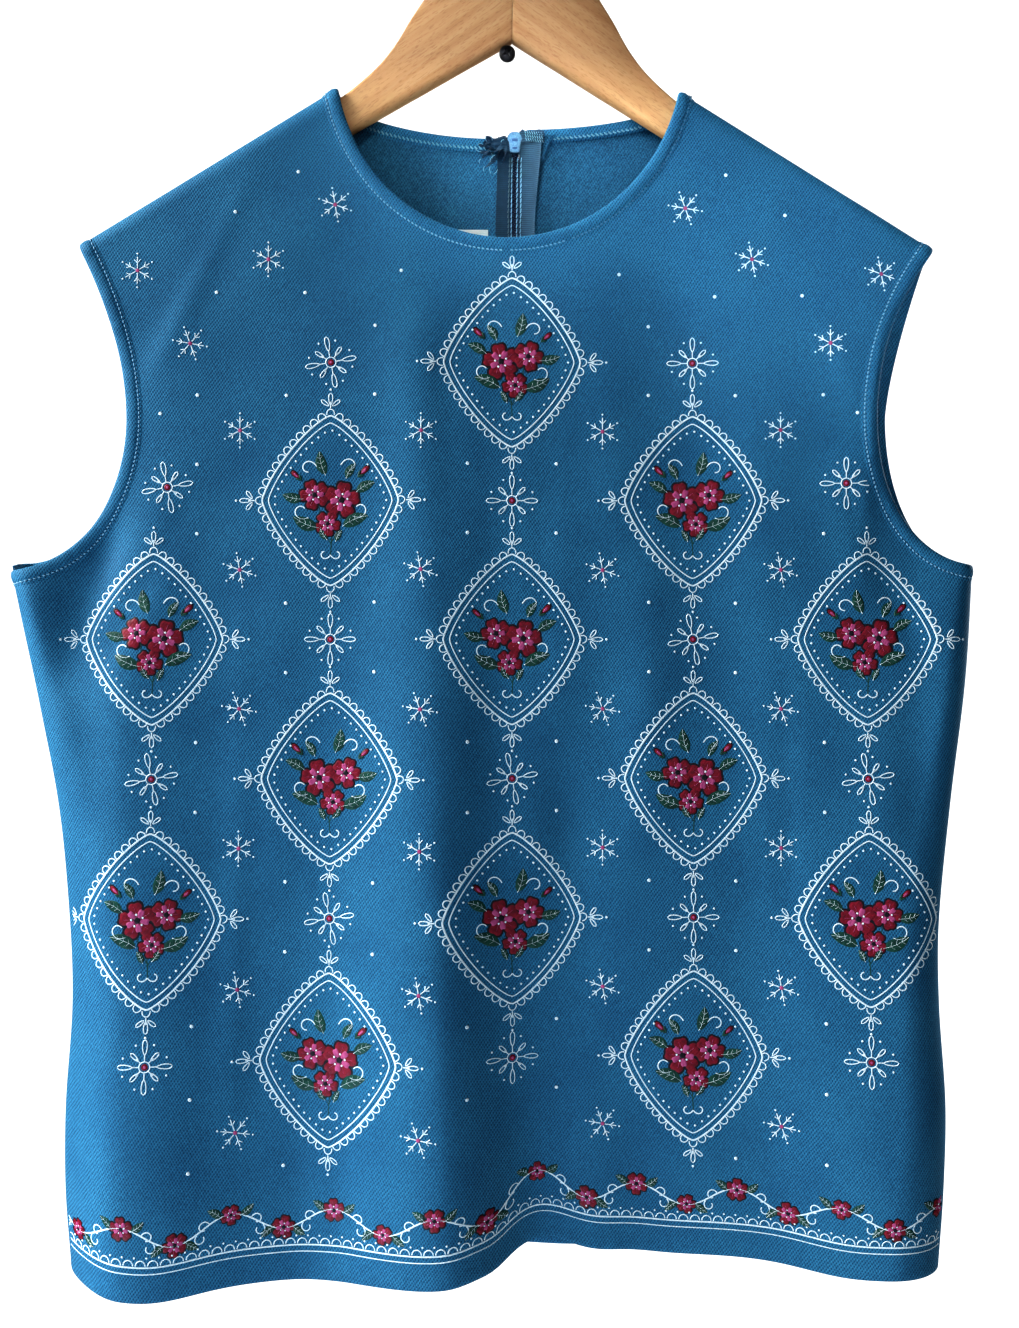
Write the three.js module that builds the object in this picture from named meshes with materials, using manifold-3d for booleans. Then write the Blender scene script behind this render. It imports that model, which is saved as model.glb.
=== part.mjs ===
// A sleeveless blouse of knitted cloth on a wooden clothes hanger that rests on a wall screw.
//
// Millimetres. The origin is the notch under the hanger, where the screw carries it, in the
// middle of the wood's thickness. +Z is up, the blouse's front faces -Y, and +X is to the right
// as one looks at the front. The cloth is laid out in plan (x, z), and depthAt() gives its y.
import * as THREE from 'three';
import { mergeVertices } from 'three/addons/utils/BufferGeometryUtils.js';
import Module from 'manifold-3d';

// ---- driving dimensions -------------------------------------------------------------------
const CLOTH = 1.2; // wall of the knitted cloth
const GAP = 0.3; // between pieces that touch
const HEM_Z = -668; // bottom edge at the side seams
const UNDERARM_Z = -288; // level where the side seams end
const SEAM_Y = -2; // the side seams lie a little forward of the middle
const SHOULDER_SEAM_Y = -2.5; // and so do the shoulder seams
const SHOULDER_ROLL = 8; // the cloth starts to turn over the shoulder this far below its top
const PLAN_HALF_WIDTH = 232; // usual half width that the columns of a panel spread over
const EDGE_HEM = { width: 7, thickness: 0.8, lift: 1.35 }; // edges turned in at neck and armholes

const HANGER = { halfThickness: 5.3, cornerRadius: 3.2, tiltDegrees: 1.2 };
const HOOK = { wireRadius: 1.9, loopRadius: 21, loopCentreZ: 97, stemTopZ: 64, baseZ: 52.3 };
const SCREW = {
  x: -2.6, z: -6.95, headY: -4.6, headRadius: 4.45, headHeight: 3, shankRadius: 2, length: 14,
};

const ZIP = { topX: 1.6, topZ: -47, sliderLength: 11.5, length: 220 };
const COLOURS = {
  cloth: 0x2a6496, turnedEdge: 0x285f8f, tapeLeft: 0x3d4d57, tapeRight: 0x4b6a86, coil: 0x1a2c4a,
  slider: 0x6fb2e6, label: 0xf0efe9, wood: 0xc89a64, steel: 0xb9bcc0, screw: 0x202225,
};

// Side edges of the blouse, seen from the front, from the underarm down to the hem.
const SIDE_ROWS = [
  { z: -288, left: -273.5, right: 251 },
  { z: -350, left: -261, right: 247 },
  { z: -416, left: -248, right: 239 },
  { z: -482, left: -241.5, right: 232.5 },
  { z: -526, left: -240, right: 232.5 },
  { z: -581, left: -243.5, right: 236 },
  { z: -625, left: -243.5, right: 235 },
  { z: -668, left: -240, right: 232 },
];

// How far the flat cloth hangs in front of and behind the middle, before its folds.
const HANG_ROWS = [
  { z: -17, front: -7.8, back: 7.8 },
  { z: -107, front: -9, back: 8.4 },
  { z: -197, front: -11, back: 9.8 },
  { z: -297, front: -12, back: 11.5 },
  { z: -447, front: -13, back: 14 },
  { z: -668, front: -13.5, back: 17.5 },
];

// Over what width the cloth turns round into the side seams.
const TURN_ROWS = [
  { z: -288, left: 9, right: 9 },
  { z: -350, left: 17, right: 15 },
  { z: -447, left: 26, right: 22 },
  { z: -557, left: 33, right: 28 },
  { z: -668, left: 38, right: 34 },
];

// Folds: each runs along a line from its low to its high end. An end has a place, a width to the
// left and right, and a depth, backward where positive. A fold dies out over `fade` past its ends.
const FRONT_FOLDS = [
  {
    name: 'left side ridge', fade: 60,
    low: { x: -203, z: -687, left: 46, right: 56, depth: -33 },
    high: { x: -212, z: -377, left: 30, right: 34, depth: -2 },
  },
  {
    name: 'centre left ridge', fade: 50,
    low: { x: -44, z: -687, left: 50, right: 34, depth: -27 },
    high: { x: -42, z: -197, left: 30, right: 18, depth: -3 },
  },
  {
    name: 'centre hollow', fade: 30,
    low: { x: 30, z: -687, left: 26, right: 90, depth: 7 },
    high: { x: 4, z: -417, left: 16, right: 40, depth: 0 },
  },
  {
    name: 'right inner ridge', fade: 40,
    low: { x: 60, z: -637, left: 16, right: 16, depth: -2.5 },
    high: { x: 58, z: -327, left: 14, right: 14, depth: -2 },
  },
  {
    name: 'right valley', fade: 40,
    low: { x: 88, z: -597, left: 20, right: 20, depth: 3 },
    high: { x: 80, z: -177, left: 18, right: 18, depth: 3.5 },
  },
  {
    name: 'right ridge', fade: 40,
    low: { x: 128, z: -617, left: 26, right: 26, depth: -4.5 },
    high: { x: 118, z: -117, left: 20, right: 24, depth: -5 },
  },
  {
    name: 'right drag', fade: 30,
    low: { x: 186, z: -387, left: 16, right: 18, depth: 3.5 },
    high: { x: 166, z: -187, left: 14, right: 16, depth: 2.5 },
  },
  {
    name: 'right side ridge', fade: 50,
    low: { x: 190, z: -687, left: 46, right: 36, depth: -18 },
    high: { x: 206, z: -357, left: 22, right: 22, depth: -3 },
  },
  {
    name: 'left armhole fall', fade: 20,
    low: { x: -238, z: -252, left: 34, right: 34, depth: 5 },
    high: { x: -232, z: -182, left: 28, right: 28, depth: 3.5 },
  },
  {
    name: 'left underarm drag', fade: 24,
    low: { x: -240, z: -397, left: 16, right: 14, depth: -4 },
    high: { x: -196, z: -282, left: 14, right: 12, depth: -3 },
  },
];
const BACK_FOLDS = [
  {
    name: 'left back ridge', fade: 60,
    low: { x: -168, z: -687, left: 40, right: 44, depth: 15 },
    high: { x: -150, z: -297, left: 26, right: 26, depth: 2 },
  },
  {
    name: 'left back hollow', fade: 50,
    low: { x: -92, z: -687, left: 26, right: 30, depth: -3 },
    high: { x: -84, z: -417, left: 20, right: 20, depth: 0 },
  },
  {
    name: 'centre back ridge', fade: 50,
    low: { x: -20, z: -687, left: 34, right: 38, depth: 7 },
    high: { x: -8, z: -477, left: 20, right: 22, depth: 0 },
  },
  {
    name: 'right back ridge', fade: 60,
    low: { x: 110, z: -687, left: 38, right: 42, depth: 13 },
    high: { x: 96, z: -327, left: 24, right: 24, depth: 1.5 },
  },
  {
    name: 'right back drag', fade: 30,
    low: { x: 188, z: -417, left: 16, right: 18, depth: 3 },
    high: { x: 150, z: -227, left: 14, right: 16, depth: 2 },
  },
];

// The hem of the front rises softly where the cloth sinks back, by `rise` over `width`.
const HEM_RISES = [
  { x: 14, rise: 13.5, width: 28 },
  { x: 100, rise: 6.5, width: 75 },
];

// Armhole edges in plan: the narrowest place, the shoulder tip, the underarm point, and how the
// upper part leans from the narrowest place to the tip.
const ARMHOLES = {
  front: {
    left: {
      narrowX: -208.5, narrowZ: -209, tipX: -236, tipZ: -112.5,
      underX: -273.5, underZ: -291, lean: 1.85,
    },
    right: {
      narrowX: 196.5, narrowZ: -209, tipX: 230, tipZ: -115,
      underX: 251, underZ: -288, lean: 2.1,
    },
  },
  back: {
    left: {
      narrowX: -211, narrowZ: -205, tipX: -236, tipZ: -112.5,
      underX: -273.5, underZ: -286, lean: 1.85,
    },
    right: {
      narrowX: 207.5, narrowZ: -205, tipX: 230, tipZ: -115,
      underX: 251, underZ: -286, lean: 1.4,
    },
  },
};
const NECK_POINTS = { left: { x: -95.5, z: -26.5 }, right: { x: 91.5, z: -28.5 } };

// Each panel's neckline is part of an ellipse, from its lowest point (x, z) on the centre line.
// `outward` is the way it faces along Y, and `yoke` is where its first row above the neckline's
// lowest point meets the armhole.
const PANELS = {
  front: {
    outward: -1, folds: FRONT_FOLDS, yoke: 0.53,
    neckX: -2.5, neckZ: { left: -110, right: -110 }, neckA: 96, neckB: 100, neckAngle: 78,
  },
  back: {
    outward: 1, folds: BACK_FOLDS, yoke: 0.7,
    neckX: ZIP.topX, neckZ: { left: -50, right: -45 }, neckA: 93.5, neckB: 26, neckAngle: 90,
  },
};
const HEM_CENTRE_X = -4;
const UNDERARM_V = 0.56; // share of a panel's rows, up to the neck, that lie below the underarm

// Across a half panel (0 at the centre, 1 at the edge) and up it (0 hem, 1 neck, 2 shoulder).
const COLUMNS = [0, 0.12, 0.24, 0.36, 0.48, 0.6, 0.71, 0.8, 0.87, 0.925, 0.965, 0.99, 1];
const BODY_ROWS = [
  0, 0.03, 0.08, 0.13, 0.18, 0.23, 0.28, 0.33, 0.38, 0.43, 0.475, 0.515, UNDERARM_V,
  0.6, 0.64, 0.69, 0.74, 0.79, 0.84, 0.89, 0.94, 1,
];
const YOKE_ROWS = [1.15, 1.3, 1.45, 1.6, 1.75, 1.87, 1.94, 1.98, 2];

// ---- small helpers ------------------------------------------------------------------------
const SIDES = ['left', 'right'];
const signOf = { left: -1, right: 1 };
const clamp01 = (t) => Math.min(1, Math.max(0, t));
const mix = (a, b, t) => a + (b - a) * t;
const smooth = (t) => clamp01(t) ** 2 * (3 - 2 * clamp01(t));
const quarterRound = (t) => Math.sqrt(1 - (1 - clamp01(t)) ** 2);
const radians = THREE.MathUtils.degToRad;

/** Reads a column of a table whose rows go down in z, with a smooth curve through its values. */
function readTable(rows, column, z) {
  const last = rows.length - 1;
  const at = Math.min(rows[0].z, Math.max(rows[last].z, z));
  let i = 0;
  while (i < last - 1 && at < rows[i + 1].z) i += 1;
  const slope = (k) => {
    const a = rows[Math.max(0, k - 1)];
    const b = rows[Math.min(last, k + 1)];
    return (b[column] - a[column]) / (b.z - a.z);
  };
  const step = rows[i + 1].z - rows[i].z;
  const t = (at - rows[i].z) / step;
  const t2 = t * t;
  const t3 = t2 * t;
  return (2 * t3 - 3 * t2 + 1) * rows[i][column] + (t3 - 2 * t2 + t) * step * slope(i)
    + (3 * t2 - 2 * t3) * rows[i + 1][column] + (t3 - t2) * step * slope(i + 1);
}

// ---- outline of the panels, in plan -------------------------------------------------------
const sideX = (side, z) => readTable(SIDE_ROWS, side, z);

function hemZ(panel, x) {
  if (panel !== 'front') return HEM_Z;
  return HEM_RISES.reduce((z, bump) => z + bump.rise * Math.exp(-(((x - bump.x) / bump.width) ** 2)), HEM_Z);
}

/** A point of an armhole edge, t = 0 at the underarm, 0.5 at the narrowest place, 1 at the tip. */
function armholePoint(panel, side, t) {
  const a = ARMHOLES[panel][side];
  if (t < 0.5) {
    const angle = (1 - 2 * t) * Math.PI / 2;
    return [
      a.narrowX + (a.underX - a.narrowX) * (1 - Math.cos(angle)),
      a.narrowZ + (a.underZ - a.narrowZ) * Math.sin(angle),
    ];
  }
  const up = 2 * t - 1;
  return [mix(a.narrowX, a.tipX, up ** a.lean), mix(a.narrowZ, a.tipZ, up)];
}

/** Half the gap between the back's two centre edges: closed by the zip, open round its slider. */
function centreGap(panel, z) {
  if (panel === 'front') return 0;
  const below = ZIP.topZ - z;
  return mix(4.9, GAP / 2, smooth((below - ZIP.sliderLength - 1) / 12));
}

/** A point of a neckline, t = 0 at the centre, 1 at the shoulder's neck point. */
function neckPoint(panel, side, t) {
  const p = PANELS[panel];
  const angle = radians(p.neckAngle);
  const gap = centreGap(panel, p.neckZ[side]);
  const at = (turn) => [
    p.neckX + signOf[side] * (gap + (p.neckA - gap) * Math.sin(turn)),
    p.neckZ[side] + p.neckB * (1 - Math.cos(turn)),
  ];
  const [x, z] = at(angle * t);
  const [endX, endZ] = at(angle);
  const end = NECK_POINTS[side];
  return [x + (end.x - endX) * t ** 3, z + (end.z - endZ) * t ** 3];
}

/** The outer edge of a half panel: side seam, then armhole, at height v. */
function outerEdge(panel, side, v) {
  const a = ARMHOLES[panel][side];
  if (v <= UNDERARM_V) {
    const z = mix(hemZ(panel, sideX(side, HEM_Z)), a.underZ, v / UNDERARM_V);
    return [sideX(side, z), z];
  }
  const { yoke } = PANELS[panel];
  const t = v <= 1 ? (v - UNDERARM_V) / (1 - UNDERARM_V) * yoke : mix(yoke, 1, v - 1);
  return armholePoint(panel, side, t);
}

/** Plan point of a half panel: s = 0 at the centre or neckline, 1 at the outer edge. */
function planPoint(panel, side, s, v) {
  const p = PANELS[panel];
  const sign = signOf[side];
  const [edgeX, edgeZ] = outerEdge(panel, side, v);
  let innerX;
  let innerZ;
  if (v <= 1) {
    innerZ = mix(HEM_Z, p.neckZ[side], v);
    innerX = mix(HEM_CENTRE_X, p.neckX, v) + sign * centreGap(panel, innerZ);
  } else {
    [innerX, innerZ] = neckPoint(panel, side, v - 1);
  }
  const reach = Math.abs(edgeX - innerX);
  const even = v <= 1 ? PLAN_HALF_WIDTH : PLAN_HALF_WIDTH - Math.abs(innerX);
  const spread = v <= 1 ? 4 : 4 - 3 * (v - 1);
  const below = v <= UNDERARM_V ? 2.6 : mix(2.6, 1.6, (v - UNDERARM_V) / (1 - UNDERARM_V));
  const bend = v <= 1 ? below : mix(1.6, 1, v - 1);
  const x = innerX + sign * (even * s + (reach - even) * s ** spread);
  const z = mix(innerZ, edgeZ, s ** bend) + (hemZ(panel, x) - HEM_Z) * (1 - clamp01(v / 0.35)) ** 2;
  return [x, z];
}

// ---- the cloth's depth --------------------------------------------------------------------
function foldDepth(folds, x, z) {
  let y = 0;
  for (const f of folds) {
    const { low, high } = f;
    const length = Math.hypot(high.x - low.x, high.z - low.z);
    const ux = (high.x - low.x) / length;
    const uz = (high.z - low.z) / length;
    const along = ((x - low.x) * ux + (z - low.z) * uz) / length;
    const across = (x - low.x) * uz - (z - low.z) * ux;
    const h = clamp01(along);
    const width = across < 0 ? mix(low.left, high.left, h) : mix(low.right, high.right, h);
    const past = Math.max(0, -along, along - 1) * length;
    const depth = mix(low.depth, high.depth, smooth(h));
    y += depth * Math.exp(-((across / width) ** 2)) * Math.exp(-((past / f.fade) ** 2));
  }
  return y;
}

/** Share of the hanging depth left at a point near a shoulder seam: 0 on the seam, 1 below it. */
function shoulderShare(side, x, z) {
  const neck = NECK_POINTS[side];
  const tip = ARMHOLES.front[side];
  const length = Math.hypot(tip.tipX - neck.x, tip.tipZ - neck.z);
  const below = Math.abs((x - neck.x) * (tip.tipZ - neck.z) - (z - neck.z) * (tip.tipX - neck.x)) / length;
  return quarterRound(below / SHOULDER_ROLL);
}

/** y of the middle of the cloth's thickness at a plan point. */
function depthAt(panel, x, z) {
  const p = PANELS[panel];
  const side = x < HEM_CENTRE_X ? 'left' : 'right';
  const gap = p.outward * GAP / 2;
  let y = readTable(HANG_ROWS, panel, z) + foldDepth(p.folds, x, z);
  const level = Math.min(z, UNDERARM_Z);
  const fromSide = (sideX(side, level) - x) * signOf[side];
  y = mix(SEAM_Y + gap, y, quarterRound(fromSide / readTable(TURN_ROWS, side, level)));
  if (z > UNDERARM_Z && Math.abs(x) > 60) {
    y = mix(SHOULDER_SEAM_Y + gap, y, shoulderShare(side, x, z));
  }
  return y;
}

/** Point at a plan place, moved out of the cloth's middle by lift, along the cloth's normal. */
function clothPoint(panel, x, z, lift) {
  const step = 0.05;
  const inward = x < HEM_CENTRE_X ? step : -step;
  const y = depthAt(panel, x, z);
  const slopeX = (depthAt(panel, x + inward, z) - y) / inward;
  const slopeZ = (y - depthAt(panel, x, z - step)) / step;
  const normal = new THREE.Vector3(-slopeX, 1, -slopeZ).normalize();
  return new THREE.Vector3(x, y, z).addScaledVector(normal, lift * PANELS[panel].outward);
}

// ---- making closed meshes -----------------------------------------------------------------
function geometryFrom(points, index) {
  const geometry = new THREE.BufferGeometry();
  geometry.setAttribute('position', new THREE.Float32BufferAttribute(points.flatMap((p) => p.toArray()), 3));
  geometry.setIndex(index);
  return geometry;
}

/** A wall of cloth over plan points; each cell lists its corners anticlockwise in plan. */
function clothWall(panel, plan, cells, lift, thickness) {
  const points = [1, -1].flatMap((face) => plan.map(
    ([x, z]) => clothPoint(panel, x, z, lift + face * thickness / 2),
  ));
  const n = plan.length;
  const index = [];
  const rim = new Map();
  for (const corners of cells) {
    const [a, b, c, d] = panel === 'front' ? corners : [...corners].reverse();
    index.push(a, b, c, a, c, d, a + n, c + n, b + n, a + n, d + n, c + n);
    for (const [from, to] of [[a, b], [b, c], [c, d], [d, a]]) {
      if (!rim.delete(`${to}>${from}`)) rim.set(`${from}>${to}`, [from, to]);
    }
  }
  for (const [from, to] of rim.values()) {
    index.push(to, from, from + n, to, from + n, to + n);
  }
  return geometryFrom(points, index);
}

/** A strip of cloth that lies on a panel: lines run across it, each a list of plan points. */
function clothStrip(panel, lines, lift, thickness) {
  const count = lines[0].length;
  const cells = [];
  for (let j = 0; j < lines.length - 1; j += 1) {
    for (let i = 0; i < count - 1; i += 1) {
      const a = j * count + i;
      cells.push([a, a + 1, a + 1 + count, a + count]);
    }
  }
  const plan = lines.flat();
  const area = cells.reduce((sum, [a, b, , d]) => sum
    + (plan[b][0] - plan[a][0]) * (plan[d][1] - plan[a][1])
    - (plan[b][1] - plan[a][1]) * (plan[d][0] - plan[a][0]), 0);
  const turned = area > 0 ? cells : cells.map((cell) => [...cell].reverse());
  return clothWall(panel, plan, turned, lift, thickness);
}

/** A skin over rings of equal size, closed by flat caps. */
function loft(rings, flip = false) {
  const count = rings[0].length;
  const index = [];
  for (let j = 0; j < rings.length - 1; j += 1) {
    for (let i = 0; i < count; i += 1) {
      const a = j * count + i;
      const b = j * count + (i + 1) % count;
      index.push(a, b, b + count, a, b + count, a + count);
    }
  }
  const top = (rings.length - 1) * count;
  for (let i = 1; i < count - 1; i += 1) {
    index.push(0, i + 1, i, top, top + i, top + i + 1);
  }
  if (flip) index.reverse();
  return geometryFrom(rings.flat(), index);
}

const wasm = await Module();
wasm.setup();

/** Joins closed geometries into one. */
function join(geometries) {
  const solids = geometries.map((geometry) => {
    const bare = geometry.clone();
    bare.deleteAttribute('normal');
    bare.deleteAttribute('uv');
    const merged = mergeVertices(bare, 1e-4);
    return new wasm.Manifold(new wasm.Mesh({
      numProp: 3,
      vertProperties: new Float32Array(merged.attributes.position.array),
      triVerts: new Uint32Array(merged.index.array),
    }));
  });
  const whole = solids.reduce((a, b) => a.add(b)).getMesh();
  const geometry = new THREE.BufferGeometry();
  geometry.setAttribute('position', new THREE.BufferAttribute(whole.vertProperties, 3));
  geometry.setIndex(new THREE.BufferAttribute(whole.triVerts, 1));
  return geometry;
}

const blouse = new THREE.Group();

function add(name, geometry, colour, roughness = 0.85, metalness = 0, parent = blouse) {
  const material = new THREE.MeshStandardMaterial({ color: colour, roughness, metalness });
  const mesh = new THREE.Mesh(geometry, material);
  mesh.name = name;
  parent.add(mesh);
  return mesh;
}

// ---- panels -------------------------------------------------------------------------------
/** Plan points and cells of one half of a panel; `points` is shared, so halves can join. */
function halfPanel(panel, side, points, isShared) {
  const cells = [];
  const rows = [...BODY_ROWS, ...YOKE_ROWS].map((v) => COLUMNS.map((s) => {
    if (s === 0 && isShared && v <= 1) {
      const [x, z] = planPoint(panel, 'left', 0, v);
      const known = points.findIndex(([px, pz]) => px === x && pz === z);
      if (known >= 0) return known;
      points.push([x, z]);
      return points.length - 1;
    }
    points.push(planPoint(panel, side, s, v));
    return points.length - 1;
  }));
  for (let j = 0; j < rows.length - 1; j += 1) {
    for (let i = 0; i < COLUMNS.length - 1; i += 1) {
      const cell = [rows[j][i], rows[j][i + 1], rows[j + 1][i + 1], rows[j + 1][i]];
      cells.push(side === 'right' ? cell : cell.reverse());
    }
  }
  return cells;
}

function frontPanel() {
  const points = [];
  const cells = SIDES.flatMap((side) => halfPanel('front', side, points, true));
  return clothWall('front', points, cells, 0, CLOTH);
}

function backPanel(side) {
  const points = [];
  const cells = halfPanel('back', side, points, false);
  return clothWall('back', points, cells, 0, CLOTH);
}

// ---- edges turned in at the neck and armholes ---------------------------------------------
/** Lines across a hem that follows an edge, from the edge to `width` inside the panel. */
function hemLines(edgeAt, count, width, towards) {
  const lines = [];
  for (let k = 0; k <= count; k += 1) {
    const t = k / count;
    const [x, z] = edgeAt(t);
    const [ax, az] = edgeAt(Math.max(0, t - 0.01));
    const [bx, bz] = edgeAt(Math.min(1, t + 0.01));
    const length = Math.hypot(bx - ax, bz - az);
    const nx = (bz - az) / length * towards;
    const nz = -(bx - ax) / length * towards;
    lines.push([[x, z], [x + nx * width, z + nz * width]]);
  }
  return lines;
}

function turnedHem(panel, edgeAt, count, towards) {
  const lines = hemLines(edgeAt, count, EDGE_HEM.width, towards);
  return clothStrip(panel, lines, -EDGE_HEM.lift, EDGE_HEM.thickness);
}

// The front's neck hem is one strip from shoulder to shoulder.
const NECK_HEM_END = 0.9;
const frontNeckEdge = (t) => {
  const along = (2 * t - 1) * NECK_HEM_END;
  return neckPoint('front', along < 0 ? 'left' : 'right', Math.abs(along));
};
// The back's neck hems start beside the zip's tapes.
const backNeckEdge = (side) => (t) => neckPoint('back', side, mix(0.11, 0.74, t));

/** An armhole's hem lies on the panel's own rows, from above the underarm to under the tip. */
function armholeHem(panel, side) {
  const rows = [...BODY_ROWS, ...YOKE_ROWS].filter((v) => v > UNDERARM_V && v < 1.95);
  const lines = rows.map((v) => {
    const edge = planPoint(panel, side, 1, v);
    const [nearX, nearZ] = planPoint(panel, side, 0.99, v);
    const share = 0.01 * EDGE_HEM.width / Math.hypot(nearX - edge[0], nearZ - edge[1]);
    return [edge, planPoint(panel, side, 1 - share, v)];
  });
  return clothStrip(panel, lines, -EDGE_HEM.lift, EDGE_HEM.thickness);
}

// ---- zip ----------------------------------------------------------------------------------
const ZIP_START_Z = PANELS.back.neckZ.left; // level where the back's centre line starts
const zipX = (z) => mix(ZIP.topX, HEM_CENTRE_X, (ZIP_START_Z - z) / (ZIP_START_Z - HEM_Z));
const SLIDER_BOTTOM = ZIP.topZ - ZIP.sliderLength;
const ZIP_BOTTOM = ZIP.topZ - ZIP.length;

/** How far the tapes' inner edges stand from the zip's middle: apart round the slider. */
const TAPE_INNER = { atSlider: 4.5, below: 2.9, over: 6 };
const tapeInner = (z) => mix(
  TAPE_INNER.atSlider, TAPE_INNER.below, smooth((SLIDER_BOTTOM - z) / TAPE_INNER.over),
);

// Places down a strip where it is bent, from its top at 0: closer where the slider parts the edges.
const STRIP_STEPS = [0, 0.02, 0.05, 0.08, 0.12, 0.2, 0.35, 0.5, 0.65, 0.8, 0.9, 1];
// How far each strip's middle lies inside the cloth's middle, and its thickness.
const LAYERS = {
  allowance: { from: 2.4, depth: 1.5, thickness: 1, pastZip: 6 },
  tape: { depth: 2.75, thickness: 0.7, pastZip: 8 },
  coil: { from: GAP / 2, to: 2, depth: 2.4, thickness: 1.6 },
};

/** A vertical strip beside the zip, `from` and `to` outward from its middle, on the inside. */
function zipStrip(side, topZ, bottomZ, from, to, layer) {
  const lines = STRIP_STEPS.map((k) => {
    const z = mix(topZ, bottomZ, k);
    return [from(z), to].map((away) => [zipX(z) + signOf[side] * away, z]);
  });
  return clothStrip('back', lines, -layer.depth, layer.thickness);
}

const ZIP_PIECES = {
  left: { top: -51, allowanceTop: -59.4, allowance: 13, tape: 10.2, colour: COLOURS.tapeLeft },
  right: { top: -46.5, allowanceTop: -59.4, allowance: 11, tape: 12.6, colour: COLOURS.tapeRight },
};

/** A flat plate in plan, thickness along Y, narrowing downwards, with round corners. */
function plate(topHalf, bottomHalf, topZ, bottomZ, yFrom, yTo, corner) {
  const shape = new THREE.Shape();
  shape.moveTo(-bottomHalf + corner, bottomZ);
  shape.lineTo(bottomHalf - corner, bottomZ);
  shape.quadraticCurveTo(bottomHalf, bottomZ, bottomHalf, bottomZ + corner);
  shape.lineTo(topHalf, topZ - corner);
  shape.quadraticCurveTo(topHalf, topZ, topHalf - corner, topZ);
  shape.lineTo(-topHalf + corner, topZ);
  shape.quadraticCurveTo(-topHalf, topZ, -topHalf, topZ - corner);
  shape.lineTo(-bottomHalf, bottomZ + corner);
  shape.quadraticCurveTo(-bottomHalf, bottomZ, -bottomHalf + corner, bottomZ);
  return uprightExtrusion(shape, yFrom, yTo);
}

const extrude = (shape, depth, curveSegments) => new THREE.ExtrudeGeometry(
  shape,
  { depth, bevelEnabled: false, curveSegments },
);

/** Extrudes a shape drawn in plan (x, z) from yFrom to yTo. */
function uprightExtrusion(shape, yFrom, yTo) {
  const geometry = extrude(shape, yTo - yFrom, 3);
  geometry.rotateX(Math.PI / 2);
  return geometry.translate(0, yTo, 0);
}

const BAIL = { halfThickness: 0.7, halfHeight: 2.6, reach: 4.4, wire: 0.9, z: -51.5, axisOut: 1.7 };
const sliderY = depthAt('back', zipX(BAIL.z) + 6, BAIL.z);

// The slider's plates, as half widths and as y places before the cloth, and the neck between them.
const SLIDER = {
  topHalf: 4.1,
  bottomHalf: 2.6,
  corner: 0.9,
  inside: [-4.5, -3.5],
  outside: [-1.3, -0.2],
  neck: { width: 2.2, depth: 3, height: 3.4, y: -2.4, belowTop: 2.2 },
};

/** The slider: a plate inside, a plate outside, a neck between them and a bail for its pull. */
function slider() {
  const { topHalf, bottomHalf, corner, neck: post } = SLIDER;
  const [inside, outside] = [SLIDER.inside, SLIDER.outside].map(([from, to]) => plate(
    topHalf, bottomHalf, ZIP.topZ, SLIDER_BOTTOM, sliderY + from, sliderY + to, corner,
  ));
  const neck = new THREE.BoxGeometry(post.width, post.depth, post.height);
  neck.translate(0, sliderY + post.y, ZIP.topZ - post.belowTop);
  const arch = new THREE.Shape();
  arch.absellipse(0, 0, BAIL.halfHeight, BAIL.reach, 0, Math.PI, false);
  arch.lineTo(-(BAIL.halfHeight - BAIL.wire), 0);
  arch.absellipse(0, 0, BAIL.halfHeight - BAIL.wire, BAIL.reach - BAIL.wire, Math.PI, 0, true);
  const bail = extrude(arch, 2 * BAIL.halfThickness, 6);
  // The arch is drawn in (z, y) and given its thickness along X.
  bail.applyMatrix4(new THREE.Matrix4().makeBasis(
    new THREE.Vector3(0, 0, 1), new THREE.Vector3(0, 1, 0), new THREE.Vector3(-1, 0, 0),
  ));
  bail.translate(BAIL.halfThickness, sliderY - 0.5, BAIL.z);
  return join([inside, outside, neck, bail]).translate(zipX(BAIL.z), 0, 0);
}

// The pull tab, from its bar down: half widths, and heights below the bail's axis.
const PULL = {
  half: 2.7,
  waist: 2.16,
  waistZ: -6,
  length: 19,
  thickness: 1,
  corner: { inset: 0.8, top: 0.5, bottom: -0.6 },
  window: { half: 1.3, top: -0.5, bottom: -4.6 },
};

/** The pull tab hangs on the bail by the bar above its window. */
function pullTab() {
  const { half, waist, waistZ, corner, window } = PULL;
  const roundZ = half - PULL.length;
  const shape = new THREE.Shape();
  shape.moveTo(-half + corner.inset, corner.top);
  shape.lineTo(half - corner.inset, corner.top);
  shape.quadraticCurveTo(half, corner.top, half, corner.bottom);
  shape.lineTo(waist, waistZ);
  shape.lineTo(half, roundZ);
  shape.absarc(0, roundZ, half, 0, -Math.PI, true);
  shape.lineTo(-waist, waistZ);
  shape.lineTo(-half, corner.bottom);
  shape.quadraticCurveTo(-half, corner.top, -half + corner.inset, corner.top);
  const hole = new THREE.Path();
  hole.moveTo(-window.half, window.top);
  hole.lineTo(-window.half, window.bottom);
  hole.lineTo(window.half, window.bottom);
  hole.lineTo(window.half, window.top);
  shape.holes.push(hole);
  const y = sliderY + BAIL.axisOut;
  const tab = uprightExtrusion(shape, y - PULL.thickness / 2, y + PULL.thickness / 2);
  return tab.translate(zipX(BAIL.z), 0, BAIL.z);
}

const STOP = { width: 4.2, depth: 1.6, height: 3, belowZip: 2, inside: 2.4 };

function bottomStop() {
  const z = ZIP_BOTTOM - STOP.belowZip;
  const block = new THREE.BoxGeometry(STOP.width, STOP.depth, STOP.height);
  return block.translate(zipX(z), depthAt('back', zipX(z), z) - STOP.inside, z);
}

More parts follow.
